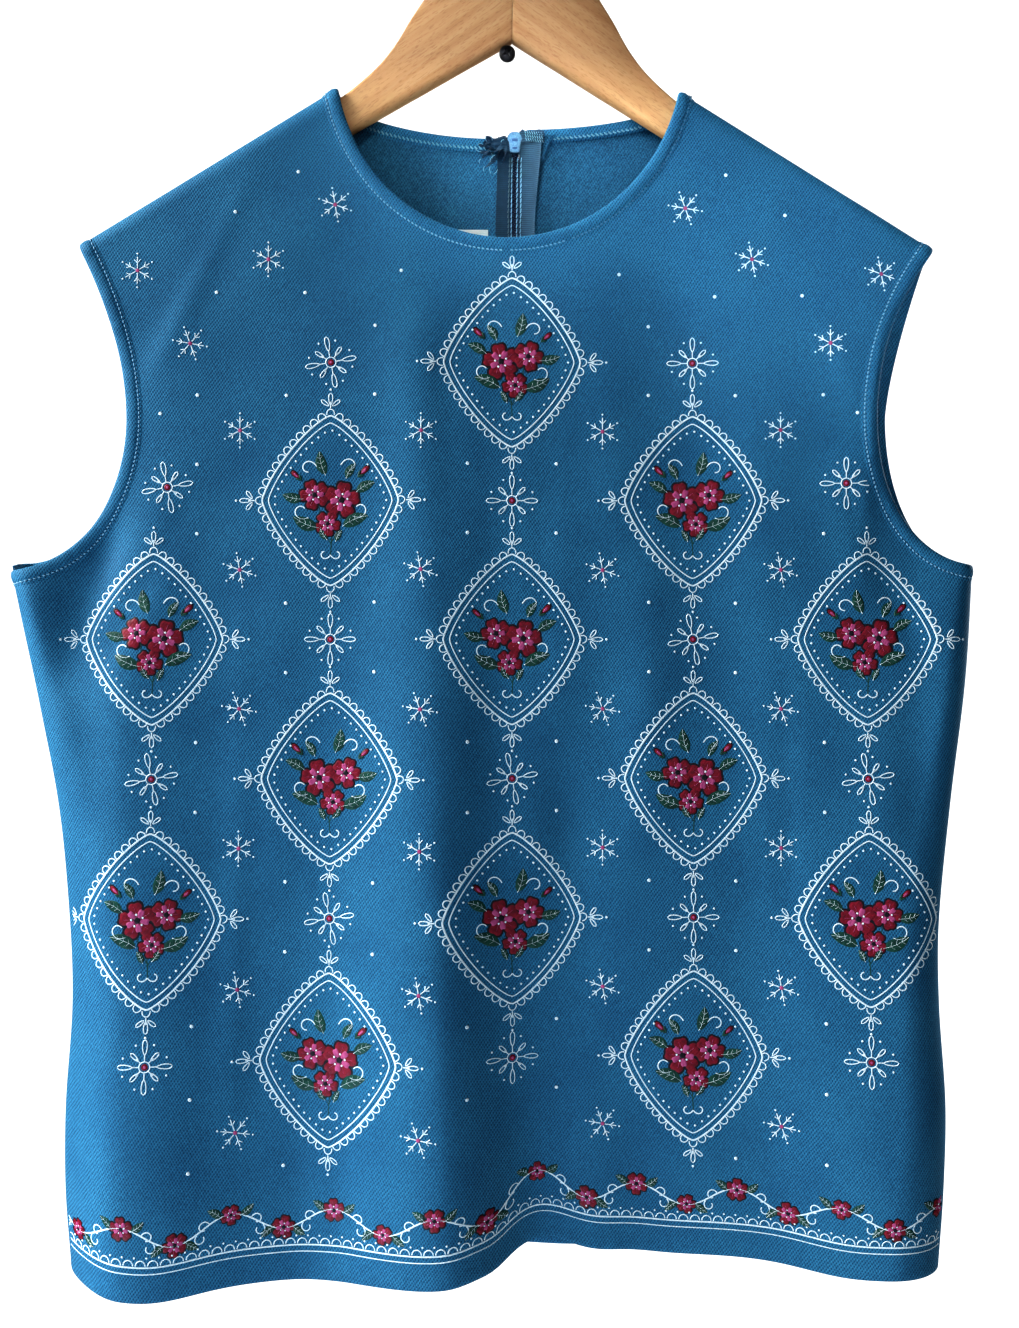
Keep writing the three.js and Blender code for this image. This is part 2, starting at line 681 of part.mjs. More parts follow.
// ---- bare label inside the back, beside the zip -------------------------------------------
const LABEL = { left: -51, middle: -32, right: -13.3, top: -100, bottom: -116, lift: -1.2, thickness: 0.5 };

function label() {
  const across = [LABEL.left, LABEL.middle, LABEL.right];
  const lines = [LABEL.top, LABEL.bottom].map((z) => across.map((x) => [x, z]));
  return clothStrip('back', lines, LABEL.lift, LABEL.thickness);
}

// ---- hanger, hook and screw ---------------------------------------------------------------
// Upper and lower edge of an arm at distances from the middle.
const ARM_SECTIONS = [
  { x: GAP / 2, top: 52, bottom: 0 },
  { x: 8, top: 51.6, bottom: -4.8 },
  { x: 16, top: 50, bottom: -9.6 },
  { x: 25, top: 46.2, bottom: -14.9 },
  { x: 34, top: 39.7, bottom: -20.3 },
  { x: 42, top: 31.2, bottom: -25.1 },
  { x: 49, top: 20.9, bottom: -29.3 },
  { x: 56, top: 9.9, bottom: -33.4 },
  { x: 61, top: 1, bottom: -36.4 },
  { x: 65, top: -5.3, bottom: -38.8 },
  { x: 72, top: -14.3, bottom: -43 },
  { x: 81, top: -23.2, bottom: -48.4 },
  { x: 92, top: -32.2, bottom: -54.9 },
  { x: 112, top: -44.6, bottom: -66.4 },
  { x: 140, top: -62.4, bottom: -81.8 },
  { x: 170, top: -81.2, bottom: -98.6 },
  { x: 198, top: -99, bottom: -114.4 },
  { x: 213, top: -109, bottom: -122 },
  { x: 219, top: -113.6, bottom: -123.4 },
  { x: 222, top: -116.6, bottom: -121.4 },
];

/** Ring of an arm's section at x: a rectangle with round corners. */
function armRing({ x, top, bottom }) {
  const radius = Math.min(HANGER.cornerRadius, (top - bottom) * 0.45);
  const ring = [];
  for (let corner = 0; corner < 4; corner += 1) {
    const yOut = corner === 0 || corner === 3 ? 1 : -1;
    const centreZ = corner < 2 ? top - radius : bottom + radius;
    for (let k = 0; k <= 2; k += 1) {
      const turn = (corner + k / 2) * Math.PI / 2;
      ring.push(new THREE.Vector3(
        x,
        yOut * (HANGER.halfThickness - radius) + radius * Math.cos(turn),
        centreZ + radius * Math.sin(turn),
      ));
    }
  }
  return ring;
}

function hangerArm(side) {
  const geometry = loft(ARM_SECTIONS.map(armRing), side === 'left');
  return side === 'left' ? geometry.scale(-1, 1, 1) : geometry;
}

/** Wire hook: a stem, a bend to the right, and a loop that opens to the left. */
function hook() {
  const centre = new THREE.Vector2(0, HOOK.loopCentreZ);
  const start = radians(-38);
  const onLoop = (turn) => new THREE.Vector2(Math.cos(turn), Math.sin(turn))
    .multiplyScalar(HOOK.loopRadius)
    .add(centre);
  const stemTop = new THREE.Vector2(0, HOOK.stemTopZ);
  const loopStart = onLoop(start);
  const bend = new THREE.CubicBezierCurve(
    stemTop,
    stemTop.clone().add(new THREE.Vector2(0, 9)),
    loopStart.clone().sub(new THREE.Vector2(-Math.sin(start), Math.cos(start)).multiplyScalar(9)),
    loopStart,
  );
  const path = [new THREE.Vector2(0, HOOK.baseZ), ...bend.getPoints(5)];
  for (let k = 1; k <= 18; k += 1) path.push(onLoop(mix(start, radians(196), k / 18)));
  const rings = path.map((point, k) => {
    const along = path[Math.min(path.length - 1, k + 1)].clone().sub(path[Math.max(0, k - 1)]).normalize();
    const ring = [];
    for (let i = 0; i < 8; i += 1) {
      const turn = i * Math.PI / 4;
      const out = HOOK.wireRadius * Math.cos(turn) * (k === path.length - 1 ? 0.55 : 1);
      const sideways = HOOK.wireRadius * Math.sin(turn) * (k === path.length - 1 ? 0.55 : 1);
      ring.push(new THREE.Vector3(point.x + out * along.y, sideways, point.y - out * along.x));
    }
    return ring;
  });
  return loft(rings);
}

/** Pan-head screw, its axis along Y, its point towards the wall. */
function wallScrew() {
  const { headRadius, headHeight, shankRadius, length, headY } = SCREW;
  const profile = [
    [0, 0], [headRadius * 0.5, 0.2], [headRadius * 0.85, 0.9], [headRadius, 1.9], [headRadius, headHeight],
    [shankRadius, headHeight], [shankRadius, length - 5], [0, length],
  ].map(([r, along]) => new THREE.Vector2(r, along));
  return new THREE.LatheGeometry(profile, 20).translate(SCREW.x, headY, SCREW.z);
}

// ---- assembly -----------------------------------------------------------------------------
add('front_panel', frontPanel(), COLOURS.cloth);
add('neck_hem_front', turnedHem('front', frontNeckEdge, 24, 1), COLOURS.turnedEdge);
for (const side of SIDES) {
  add(`back_panel_${side}`, backPanel(side), COLOURS.cloth);
  add(`neck_hem_back_${side}`, turnedHem('back', backNeckEdge(side), 9, signOf[side]), COLOURS.turnedEdge);
  for (const panel of ['front', 'back']) {
    add(`armhole_hem_${panel}_${side}`, armholeHem(panel, side), COLOURS.turnedEdge);
  }
}

for (const side of SIDES) {
  const z = ZIP_PIECES[side];
  const { allowance, tape, coil } = LAYERS;
  const folded = zipStrip(
    side, z.allowanceTop, ZIP_BOTTOM - allowance.pastZip, () => allowance.from, z.allowance, allowance,
  );
  add(`zip_allowance_${side}`, folded, COLOURS.turnedEdge);
  const woven = zipStrip(side, z.top, ZIP_BOTTOM - tape.pastZip, tapeInner, z.tape, tape);
  add(`zip_tape_${side}`, woven, z.colour);
  const teeth = zipStrip(side, SLIDER_BOTTOM - GAP, ZIP_BOTTOM, () => coil.from, coil.to, coil);
  add(`zip_coil_${side}`, teeth, COLOURS.coil, 0.5);
}
add('zip_slider', slider(), COLOURS.slider, 0.4, 0.2);
add('zip_pull_tab', pullTab(), COLOURS.slider, 0.4, 0.2);
add('zip_bottom_stop', bottomStop(), COLOURS.steel, 0.35, 1);

add('label', label(), COLOURS.label);

const hanger = new THREE.Group();
hanger.rotation.y = radians(HANGER.tiltDegrees);
for (const side of SIDES) add(`hanger_arm_${side}`, hangerArm(side), COLOURS.wood, 0.55, 0, hanger);
add('hanger_hook', hook(), COLOURS.steel, 0.3, 1, hanger);
blouse.add(hanger);
add('wall_screw', wallScrew(), COLOURS.screw, 0.45, 0.8);

export default blouse;
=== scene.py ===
import math

import bpy
import numpy as np
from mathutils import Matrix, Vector


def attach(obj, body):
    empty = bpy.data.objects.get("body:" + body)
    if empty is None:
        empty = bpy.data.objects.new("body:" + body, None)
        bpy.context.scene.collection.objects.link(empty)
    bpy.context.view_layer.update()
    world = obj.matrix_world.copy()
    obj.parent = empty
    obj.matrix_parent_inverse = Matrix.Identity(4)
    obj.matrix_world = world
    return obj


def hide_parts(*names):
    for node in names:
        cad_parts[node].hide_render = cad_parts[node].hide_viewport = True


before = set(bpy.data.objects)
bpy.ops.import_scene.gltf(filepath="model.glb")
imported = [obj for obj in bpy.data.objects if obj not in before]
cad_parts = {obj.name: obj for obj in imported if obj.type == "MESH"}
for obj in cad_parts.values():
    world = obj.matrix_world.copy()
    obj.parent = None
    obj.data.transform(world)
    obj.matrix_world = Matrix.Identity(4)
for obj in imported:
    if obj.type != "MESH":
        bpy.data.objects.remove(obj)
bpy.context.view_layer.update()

MM = 0.001
BLOUSE, PULL = "blouse", "zip_pull"
SIDES = ("left", "right")
SIGN = {"left": -1, "right": 1}

# ---- driving dimensions --------------------------------------------------------------------
CLOTH = 1.2  # wall of the knitted cloth
FACE = CLOTH / 2  # its outer face lies this far from its middle
SEAM_GAP = 0.3  # between the panels' middles at a seam
HEM_Z = -668
UNDERARM_Z = -288
SEAM_Y = -2  # of the side seams
SHOULDER_SEAM_Y = -2.5
SHOULDER_ROLL = 8  # the cloth rolls over to a shoulder seam within this distance
SHOULDER_FROM = 60  # and this far out from the middle
PLAN_HALF_WIDTH = 232
HEM_CENTRE_X = -4
UNDERARM_V = 0.56  # share of a half panel's height at which its side seam ends
HEM_SHARE = 0.35  # share over which the hem's own line fades upwards
TILT = math.radians(1.2)  # of the hanger
ZIP = {"top_x": 1.6, "top_z": -47, "slider": 11.5, "length": 220, "half_open": 4.9, "closes_over": 12}

# Tables read by height: the side seams' x, the panels' y away from the folds, and the distance
# over which each panel turns in to its side seam.
SIDE_ROWS = {
    "z": (-288, -350, -416, -482, -526, -581, -625, -668),
    "left": (-273.5, -261, -248, -241.5, -240, -243.5, -243.5, -240),
    "right": (251, 247, 239, 232.5, 232.5, 236, 235, 232),
}
HANG_ROWS = {
    "z": (-17, -107, -197, -297, -447, -668),
    "front": (-7.8, -9, -11, -12, -13, -13.5),
    "back": (7.8, 8.4, 9.8, 11.5, 14, 17.5),
}
TURN_ROWS = {
    "z": (-288, -350, -447, -557, -668),
    "left": (9, 17, 26, 33, 38),
    "right": (9, 15, 22, 28, 34),
}

# Folds: a low end and a high end, each (x, z, width to the left, width to the right, depth), and
# the distance over which the fold fades past its ends.
FRONT_FOLDS = [
    ((-200, -703, 47, 68, -31.0), (-207, -381, 19, 40, -4.5), 60),
    ((-37, -680, 61, 37, -25.1), (-50, -206, 19, 18, -3.3), 50),
    ((22, -690, 29, 109, 9.3), (-1, -433, 17, 34, -1.1), 30),
    ((92, -597, 19, 23, -0.1), (74, -177, 21, 19, 1.2), 40),
    ((135, -618, 28, 20, 1.0), (98, -162, 29, 38, 3.2), 40),
    ((221, -691, 64, 42, -15.3), (230, -342, 42, 32, -6.3), 50),
    ((-242, -249, 34, 25, 3.5), (-234, -180, 28, 23, 3.0), 20),
    ((-231, -407, 14, 17, -0.5), (-191, -291, 14, 14, -0.8), 24),
    ((180, -599, 32, 32, -3.0), (126, -153, 28, 41, -1.6), 40),
    ((-210, -438, 24, 45, -1.9), (-177, -159, 19, 20, -0.8), 40),
    ((-131, -649, 27, 17, -1.5), (-127, -328, 22, 19, -0.8), 40),
    ((-25, -399, 14, 13, -1.3), (-23, -197, 12, 13, -0.8), 35),
    ((45, -654, 20, 20, -3.4), (30, -426, 15, 17, 2.9), 40),
    ((50, -413, 20, 18, 1.1), (36, -195, 18, 15, 0.8), 35),
    ((72, -399, 14, 18, -1.5), (82, -194, 11, 13, -0.4), 35),
    ((174, -396, 20, 16, 0.3), (195, -188, 23, 7, -3.6), 35),
    ((220, -427, 15, 13, 2.3), (215, -304, 15, 13, 1.2), 35),
    ((-249, -349, 20, 16, 3.2), (-222, -284, 13, 11, 4.0), 22),
    ((-240, -410, 9, 15, -1.4), (-259, -304, 9, 16, -4.2), 18),
]
BACK_FOLDS = [
    ((-168, -687, 40, 44, 15), (-150, -297, 26, 26, 2), 60),
    ((-92, -687, 26, 30, -3), (-84, -417, 20, 20, 0), 50),
    ((-20, -687, 34, 38, 7), (-8, -477, 20, 22, 0), 50),
    ((110, -687, 38, 42, 13), (96, -327, 24, 24, 1.5), 60),
    ((188, -417, 16, 18, 3), (150, -227, 14, 16, 2), 30),
]
# Shallow creases that only the looks have.
FRONT_CREASES = [
    ((-150, -560, 9, 9, -0.9), (-146, -330, 7, 7, -0.3), 30),
    ((-90, -640, 8, 10, 0.8), (-96, -470, 7, 7, 0.3), 26),
    ((-214, -330, 8, 7, 1.0), (-178, -262, 6, 6, 0.3), 14),
    ((218, -332, 7, 8, 0.9), (184, -258, 6, 6, 0.3), 14),
    ((150, -470, 8, 8, 0.7), (146, -300, 6, 6, 0.2), 24),
    ((14, -330, 8, 8, 0.5), (20, -190, 7, 7, 0.2), 24),
    ((-186, -168, 7, 8, -0.8), (-150, -92, 6, 6, -0.3), 16),
    ((178, -176, 7, 8, -0.8), (146, -96, 6, 6, -0.3), 16),
]
BACK_CREASES = [
    ((-120, -600, 9, 9, 0.9), (-112, -380, 7, 7, 0.3), 30),
    ((56, -620, 9, 8, -0.8), (50, -420, 7, 7, -0.3), 26),
    ((-214, -330, 8, 7, -1.0), (-174, -250, 6, 6, -0.3), 14),
    ((216, -330, 7, 8, -0.9), (178, -252, 6, 6, -0.3), 14),
    ((-170, -170, 7, 8, 0.8), (-132, -96, 6, 6, 0.3), 16),
]
# Rises of the front's hem: place, height and width.
HEM_RISES = [
    (14, 13.5, 28), (100, 6.5, 75), (-186, -3.6, 26), (-9, -2.2, 9), (60, 2.8, 20), (178, -2.6, 26),
]

# Armhole edges: narrowest place, underarm point, and the lean above the middle.
ARMHOLES = {
    ("front", "left"): {"narrow": (-208.5, -209), "under": (-273.5, -291), "lean": 1.85},
    ("front", "right"): {"narrow": (196.5, -209), "under": (251, -288), "lean": 2.1},
    ("back", "left"): {"narrow": (-211, -205), "under": (-273.5, -286), "lean": 1.85},
    ("back", "right"): {"narrow": (207.5, -205), "under": (251, -286), "lean": 1.4},
}
SHOULDER_TIPS = {"left": (-236, -112.5), "right": (230, -115)}
NECK_POINTS = {"left": (-95.5, -26.5), "right": (91.5, -28.5)}
# Panels: the way they face, their folds, how far up the armhole (0 to 1) the row through the
# neckline's middle ends, and the neckline as part of an ellipse: its middle, half axes and angle.
PANELS = {
    "front": {
        "outward": -1, "folds": FRONT_FOLDS + FRONT_CREASES, "yoke": 0.53,
        "neck_x": -2.5, "neck_z": {"left": -110, "right": -110}, "a": 96, "b": 100, "angle": 78,
    },
    "back": {
        "outward": 1, "folds": BACK_FOLDS + BACK_CREASES, "yoke": 0.7,
        "neck_x": ZIP["top_x"], "neck_z": {"left": -50, "right": -45}, "a": 93.5, "b": 26, "angle": 90,
    },
}


# ---- small helpers -------------------------------------------------------------------------
def mix(a, b, t):
    return a + (b - a) * t


def smooth(t):
    t = np.clip(t, 0, 1)
    return t * t * (3 - 2 * t)


def quarter_round(t):
    return np.sqrt(1 - (1 - np.clip(t, 0, 1)) ** 2)


def pack(*parts):
    """Coordinates side by side on a last axis."""
    return np.stack(np.broadcast_arrays(*parts), -1)


def unit(vectors):
    return vectors / np.linalg.norm(vectors, axis=-1, keepdims=True)


def circle(count):
    return np.arange(count) * 2 * math.pi / count


def read_table(table, column, z):
    """Reads a column of a table whose z goes down, with a smooth curve through its values."""
    zs, values = np.array(table["z"], float), np.array(table[column], float)
    last = len(zs) - 1
    before, after = np.maximum(np.arange(last + 1) - 1, 0), np.minimum(np.arange(last + 1) + 1, last)
    slopes = (values[after] - values[before]) / (zs[after] - zs[before])
    at = np.clip(np.asarray(z, float), zs[-1], zs[0])
    i = (at[..., None] < zs[1:-1]).sum(-1)
    step = zs[i + 1] - zs[i]
    t = (at - zs[i]) / step
    t2, t3 = t * t, t * t * t
    return (
        (2 * t3 - 3 * t2 + 1) * values[i] + (t3 - 2 * t2 + t) * step * slopes[i]
        + (3 * t2 - 2 * t3) * values[i + 1] + (t3 - t2) * step * slopes[i + 1]
    )


# ---- the cloth's plan and depth ------------------------------------------------------------
def side_x(side, z):
    return read_table(SIDE_ROWS, side, z)


def hem_z(panel, x):
    z = np.full(np.shape(x), float(HEM_Z))
    if panel == "front":
        for at, rise, width in HEM_RISES:
            z = z + rise * np.exp(-(((x - at) / width) ** 2))
    return z


def armhole_point(panel, side, t):
    """A point of an armhole edge: t = 0 at the underarm, 0.5 at the narrowest place, 1 at the tip."""
    hole = ARMHOLES[panel, side]
    (nx, nz), (ux, uz), (tx, tz) = hole["narrow"], hole["under"], SHOULDER_TIPS[side]
    angle = (1 - 2 * np.minimum(t, 0.5)) * math.pi / 2
    up = np.clip(2 * t - 1, 0, 1)
    low = t < 0.5
    x = np.where(low, nx + (ux - nx) * (1 - np.cos(angle)), mix(nx, tx, up ** hole["lean"]))
    return x, np.where(low, nz + (uz - nz) * np.sin(angle), mix(nz, tz, up))


def centre_gap(panel, z):
    """Half the gap between the back's centre edges: closed by the zip, open round its slider."""
    if panel == "front":
        return np.zeros(np.shape(z))
    below = ZIP["top_z"] - np.asarray(z, float)
    return mix(ZIP["half_open"], SEAM_GAP / 2, smooth((below - ZIP["slider"] - 1) / ZIP["closes_over"]))


def neck_point(panel, side, t):
    """A point of a neckline: t = 0 at the centre, 1 at the shoulder's neck point."""
    p = PANELS[panel]
    full = math.radians(p["angle"])
    gap = float(centre_gap(panel, p["neck_z"][side]))

    def at(turn):
        x = p["neck_x"] + SIGN[side] * (gap + (p["a"] - gap) * np.sin(turn))
        return x, p["neck_z"][side] + p["b"] * (1 - np.cos(turn))

    x, z = at(full * np.asarray(t, float))
    (end_x, end_z), (goal_x, goal_z) = at(full), NECK_POINTS[side]
    return x + (goal_x - end_x) * t ** 3, z + (goal_z - end_z) * t ** 3


def outer_edge(panel, side, v):
    """The outer edge of a half panel: side seam, then armhole, at height v."""
    under_z = ARMHOLES[panel, side]["under"][1]
    z = mix(hem_z(panel, side_x(side, HEM_Z)), under_z, np.minimum(v / UNDERARM_V, 1))
    yoke = PANELS[panel]["yoke"]
    low = (np.clip(v, UNDERARM_V, 1) - UNDERARM_V) / (1 - UNDERARM_V) * yoke
    arm_x, arm_z = armhole_point(panel, side, np.where(v <= 1, low, mix(yoke, 1, v - 1)))
    below = v <= UNDERARM_V
    return np.where(below, side_x(side, z), arm_x), np.where(below, z, arm_z)


def plan_point(panel, side, s, v):
    """Plan point of a half panel: s = 0 at the centre or neckline, 1 at the outer edge."""
    s, v = np.broadcast_arrays(np.asarray(s, float), np.asarray(v, float))
    p, sign = PANELS[panel], SIGN[side]
    edge_x, edge_z = outer_edge(panel, side, v)
    body_z = mix(HEM_Z, p["neck_z"][side], np.minimum(v, 1))
    body_x = mix(HEM_CENTRE_X, p["neck_x"], np.minimum(v, 1)) + sign * centre_gap(panel, body_z)
    neck_x, neck_z = neck_point(panel, side, np.clip(v - 1, 0, 1))
    body = v <= 1
    inner_x, inner_z = np.where(body, body_x, neck_x), np.where(body, body_z, neck_z)
    # Columns are even near the centre and bend to reach the edge; rows bend up or down with them.
    even = np.where(body, PLAN_HALF_WIDTH, PLAN_HALF_WIDTH - np.abs(inner_x))
    spread = np.where(body, 4, 4 - 3 * (v - 1))
    share = np.clip((v - UNDERARM_V) / (1 - UNDERARM_V), 0, 1)
    bend = np.where(body, mix(2.6, 1.6, share), mix(1.6, 1, v - 1))
    x = inner_x + sign * (even * s + (np.abs(edge_x - inner_x) - even) * s ** spread)
    rise = (hem_z(panel, x) - HEM_Z) * (1 - np.clip(v / HEM_SHARE, 0, 1)) ** 2
    return x, mix(inner_z, edge_z, s ** bend) + rise


def fold_depth(folds, x, z):
    y = np.zeros(np.shape(x))
    for (x0, z0, left0, right0, depth0), (x1, z1, left1, right1, depth1), fade in folds:
        length = math.hypot(x1 - x0, z1 - z0)
        ux, uz = (x1 - x0) / length, (z1 - z0) / length
        along = ((x - x0) * ux + (z - z0) * uz) / length
        across = (x - x0) * uz - (z - z0) * ux
        h = np.clip(along, 0, 1)
        width = np.where(across < 0, mix(left0, left1, h), mix(right0, right1, h))
        past = np.maximum(0, np.maximum(-along, along - 1)) * length
        depth = mix(depth0, depth1, smooth(h))
        y = y + depth * np.exp(-((across / width) ** 2)) * np.exp(-((past / fade) ** 2))
    return y


def ripple(x, z):
    """Faint unevenness of a washed knit, in three long waves that cross."""
    return (
        0.22 * np.sin(x / 13 + 1.3 * np.sin(z / 61)) * np.sin(z / 47 + 0.8)
        + 0.16 * np.sin((x + 0.6 * z) / 17 + 2.1) * np.sin((z - 0.4 * x) / 29)
        + 0.10 * np.sin((x - 0.9 * z) / 9.5 + 0.4)
    )


def shoulder_share(side, x, z):
    """Share of the hanging depth left near a shoulder seam: 0 on the seam, 1 below it."""
    (nx, nz), (tx, tz) = NECK_POINTS[side], SHOULDER_TIPS[side]
    below = np.abs((x - nx) * (tz - nz) - (z - nz) * (tx - nx)) / math.hypot(tx - nx, tz - nz)
    return quarter_round(below / SHOULDER_ROLL)


def depth_at(panel, x, z):
    """y of the middle of the cloth's thickness at a plan point."""
    p = PANELS[panel]
    left = x < HEM_CENTRE_X
    gap = p["outward"] * SEAM_GAP / 2
    y = read_table(HANG_ROWS, panel, z) + fold_depth(p["folds"], x, z) + ripple(x, z)
    level = np.minimum(z, UNDERARM_Z)
    from_side = np.where(left, x - side_x("left", level), side_x("right", level) - x)
    turn = np.where(left, *(read_table(TURN_ROWS, side, level) for side in SIDES))
    y = mix(SEAM_Y + gap, y, quarter_round(from_side / turn))
    share = np.where(left, *(shoulder_share(side, x, z) for side in SIDES))
    near = (z > UNDERARM_Z) & (np.abs(x) > SHOULDER_FROM)
    return np.where(near, mix(SHOULDER_SEAM_Y + gap, y, share), y)


def cloth_point(panel, x, z, lift):
    """Points at plan places, moved out of the cloth's middle by lift, along the cloth's normal."""
    x, z, lift = np.broadcast_arrays(*(np.asarray(value, float) for value in (x, z, lift)))
    step = 0.05  # over which the slopes are measured
    inward = np.where(x < HEM_CENTRE_X, step, -step)
    y = depth_at(panel, x, z)
    slope_x = (depth_at(panel, x + inward, z) - y) / inward
    slope_z = (y - depth_at(panel, x, z - step)) / step
    normal = unit(pack(-slope_x, 1.0, -slope_z))
    return pack(x, y, z) + normal * (lift * PANELS[panel]["outward"])[..., None]


# ---- making meshes -------------------------------------------------------------------------
def quads_of(index):
    """Quads between the neighbours in a grid of point numbers."""
    quads = np.stack([index[:-1, :-1], index[:-1, 1:], index[1:, 1:], index[1:, :-1]], -1)
    return quads.reshape(-1, 4)


def grid_quads(rows, columns, ring=False):
    """Quads of a grid of points, row by row. A ring's last column joins its first."""
    index = np.arange(rows * columns).reshape(rows, columns)
    return quads_of(np.concatenate([index, index[:, :1]], 1) if ring else index)


def volume_of(points, faces):
    total = 0.0
    for face in faces:
        for k in range(1, face.shape[1] - 1):
            a, b, c = points[face[:, 0]], points[face[:, k]], points[face[:, k + 1]]
            total += float((a * np.cross(b, c)).sum()) / 6
    return total


def linked(name, data):
    piece = bpy.data.objects.new(name, data)
    bpy.context.scene.collection.objects.link(piece)
    return piece


def mesh_of(name, points, faces, *materials):
    """A mesh of points in mm and arrays of faces."""
    mesh = bpy.data.meshes.new(name)
    mesh.from_pydata((points * MM).tolist(), [], [face for group in faces for face in group.tolist()])
    for material in materials:
        mesh.materials.append(material)
    return mesh


def make(
    name, points, faces, *materials, slot=None, node=None, body=BLOUSE, closed=True, kinds=None, sharp=50
):
    """A piece of points in mm and arrays of faces, on its body, in the place of a CAD node.

    `kinds` gives each face's material, and edges are sharp from the angle `sharp` in degrees.
    """
    if closed and volume_of(points - points.mean(0), faces) < 0:
        faces = [face[:, ::-1] for face in faces]
    mesh = mesh_of(name, points, faces, *materials)
    if kinds is not None:
        mesh.polygons.foreach_set("material_index", kinds.astype(np.int32))
    mesh.shade_smooth()
    mesh.set_sharp_from_angle(angle=math.radians(sharp))
    piece = linked(name, mesh)
    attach(piece, body)
    if node:
        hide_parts(node)
    return piece


def two_sheets(name, panel, plan, quads, lifts, *materials, **rest):
    """A thin closed shell of cloth between two sheets at their lifts. A second material goes inside."""
    count = len(plan)
    a, b = quads.ravel(), np.roll(quads, -1, axis=1).ravel()
    border = (a != b) & ~np.isin(a * count + b, b * count + a)
    a, b = a[border], b[border]
    faces = [quads, quads[:, ::-1] + count, np.stack([b, a, a + count, b + count], -1)]
    kinds = np.repeat([0, 1, 1] if len(materials) > 1 else [0, 0, 0], [len(face) for face in faces])
    points = np.concatenate([cloth_point(panel, *plan.T, lift) for lift in lifts])
    return make(name, points, [np.concatenate(faces)], *materials, kinds=kinds, **rest)


def resample(points, step):
    """An open path again, with points about `step` apart."""
    along = np.concatenate([[0], np.cumsum(np.linalg.norm(np.diff(points, axis=0), axis=1))])
    at = np.linspace(0, along[-1], max(2, round(along[-1] / step) + 1))
    return pack(*(np.interp(at, along, column) for column in points.T))


def way_along(path):
    return unit(np.gradient(path, axis=0))


def normals_of(path, turn):
    """Unit normals of a plan path, to its right where turn is 1 and to its left where it is -1."""
    way = way_along(path)
    return pack(way[:, 1], -way[:, 0]) * turn


def tube(sections):
    """Points and faces of a closed skin over rings (rings, points, 3), with flat ends."""
    rings, count = sections.shape[:2]
    ends = [np.arange(count)[None, ::-1], (rings - 1) * count + np.arange(count)[None, :]]
    return sections.reshape(-1, 3), [grid_quads(rings, count, ring=True), *ends]


def joined(parts):
    """Joins (points, faces) of several small shapes into one set."""
    points, faces, start = [], {}, 0
    for part_points, part_faces in parts:
        points.append(part_points)
        for face in part_faces:
            faces.setdefault(face.shape[1], []).append(face + start)
        start += len(part_points)
    return np.concatenate(points), [np.concatenate(group) for group in faces.values()]


def sweep(path, radius, sides, taper=0.0):
    """A round bar along a path of 3-D points; its ends narrow by the share `taper`."""
    way = way_along(path)
    side = np.zeros_like(way)
    side[0] = np.cross(way[0], (0.31, 0.95, 0.11))
    for i in range(1, len(way)):
        side[i] = side[i - 1] - way[i] * (side[i - 1] @ way[i])
    side[0] -= way[0] * (side[0] @ way[0])
    side = unit(side)
    other = np.cross(way, side)
    size = radius * (1 - taper * np.linspace(-1, 1, len(path)) ** 6)
    turn = circle(sides)
    ring = side[:, None] * np.cos(turn)[None, :, None] + other[:, None] * np.sin(turn)[None, :, None]
    return tube(path[:, None] + ring * np.reshape(size, (-1, 1, 1)))


# ---- materials -----------------------------------------------------------------------------
WHITE = (255, 255, 255)


def srgb(*channels):
    """A colour given as 0 to 255, as the shader takes it."""
    linear = [c / 255 / 12.92 if c < 10 else ((c / 255 + 0.055) / 1.055) ** 2.4 for c in channels]
    return (*linear, 1.0)


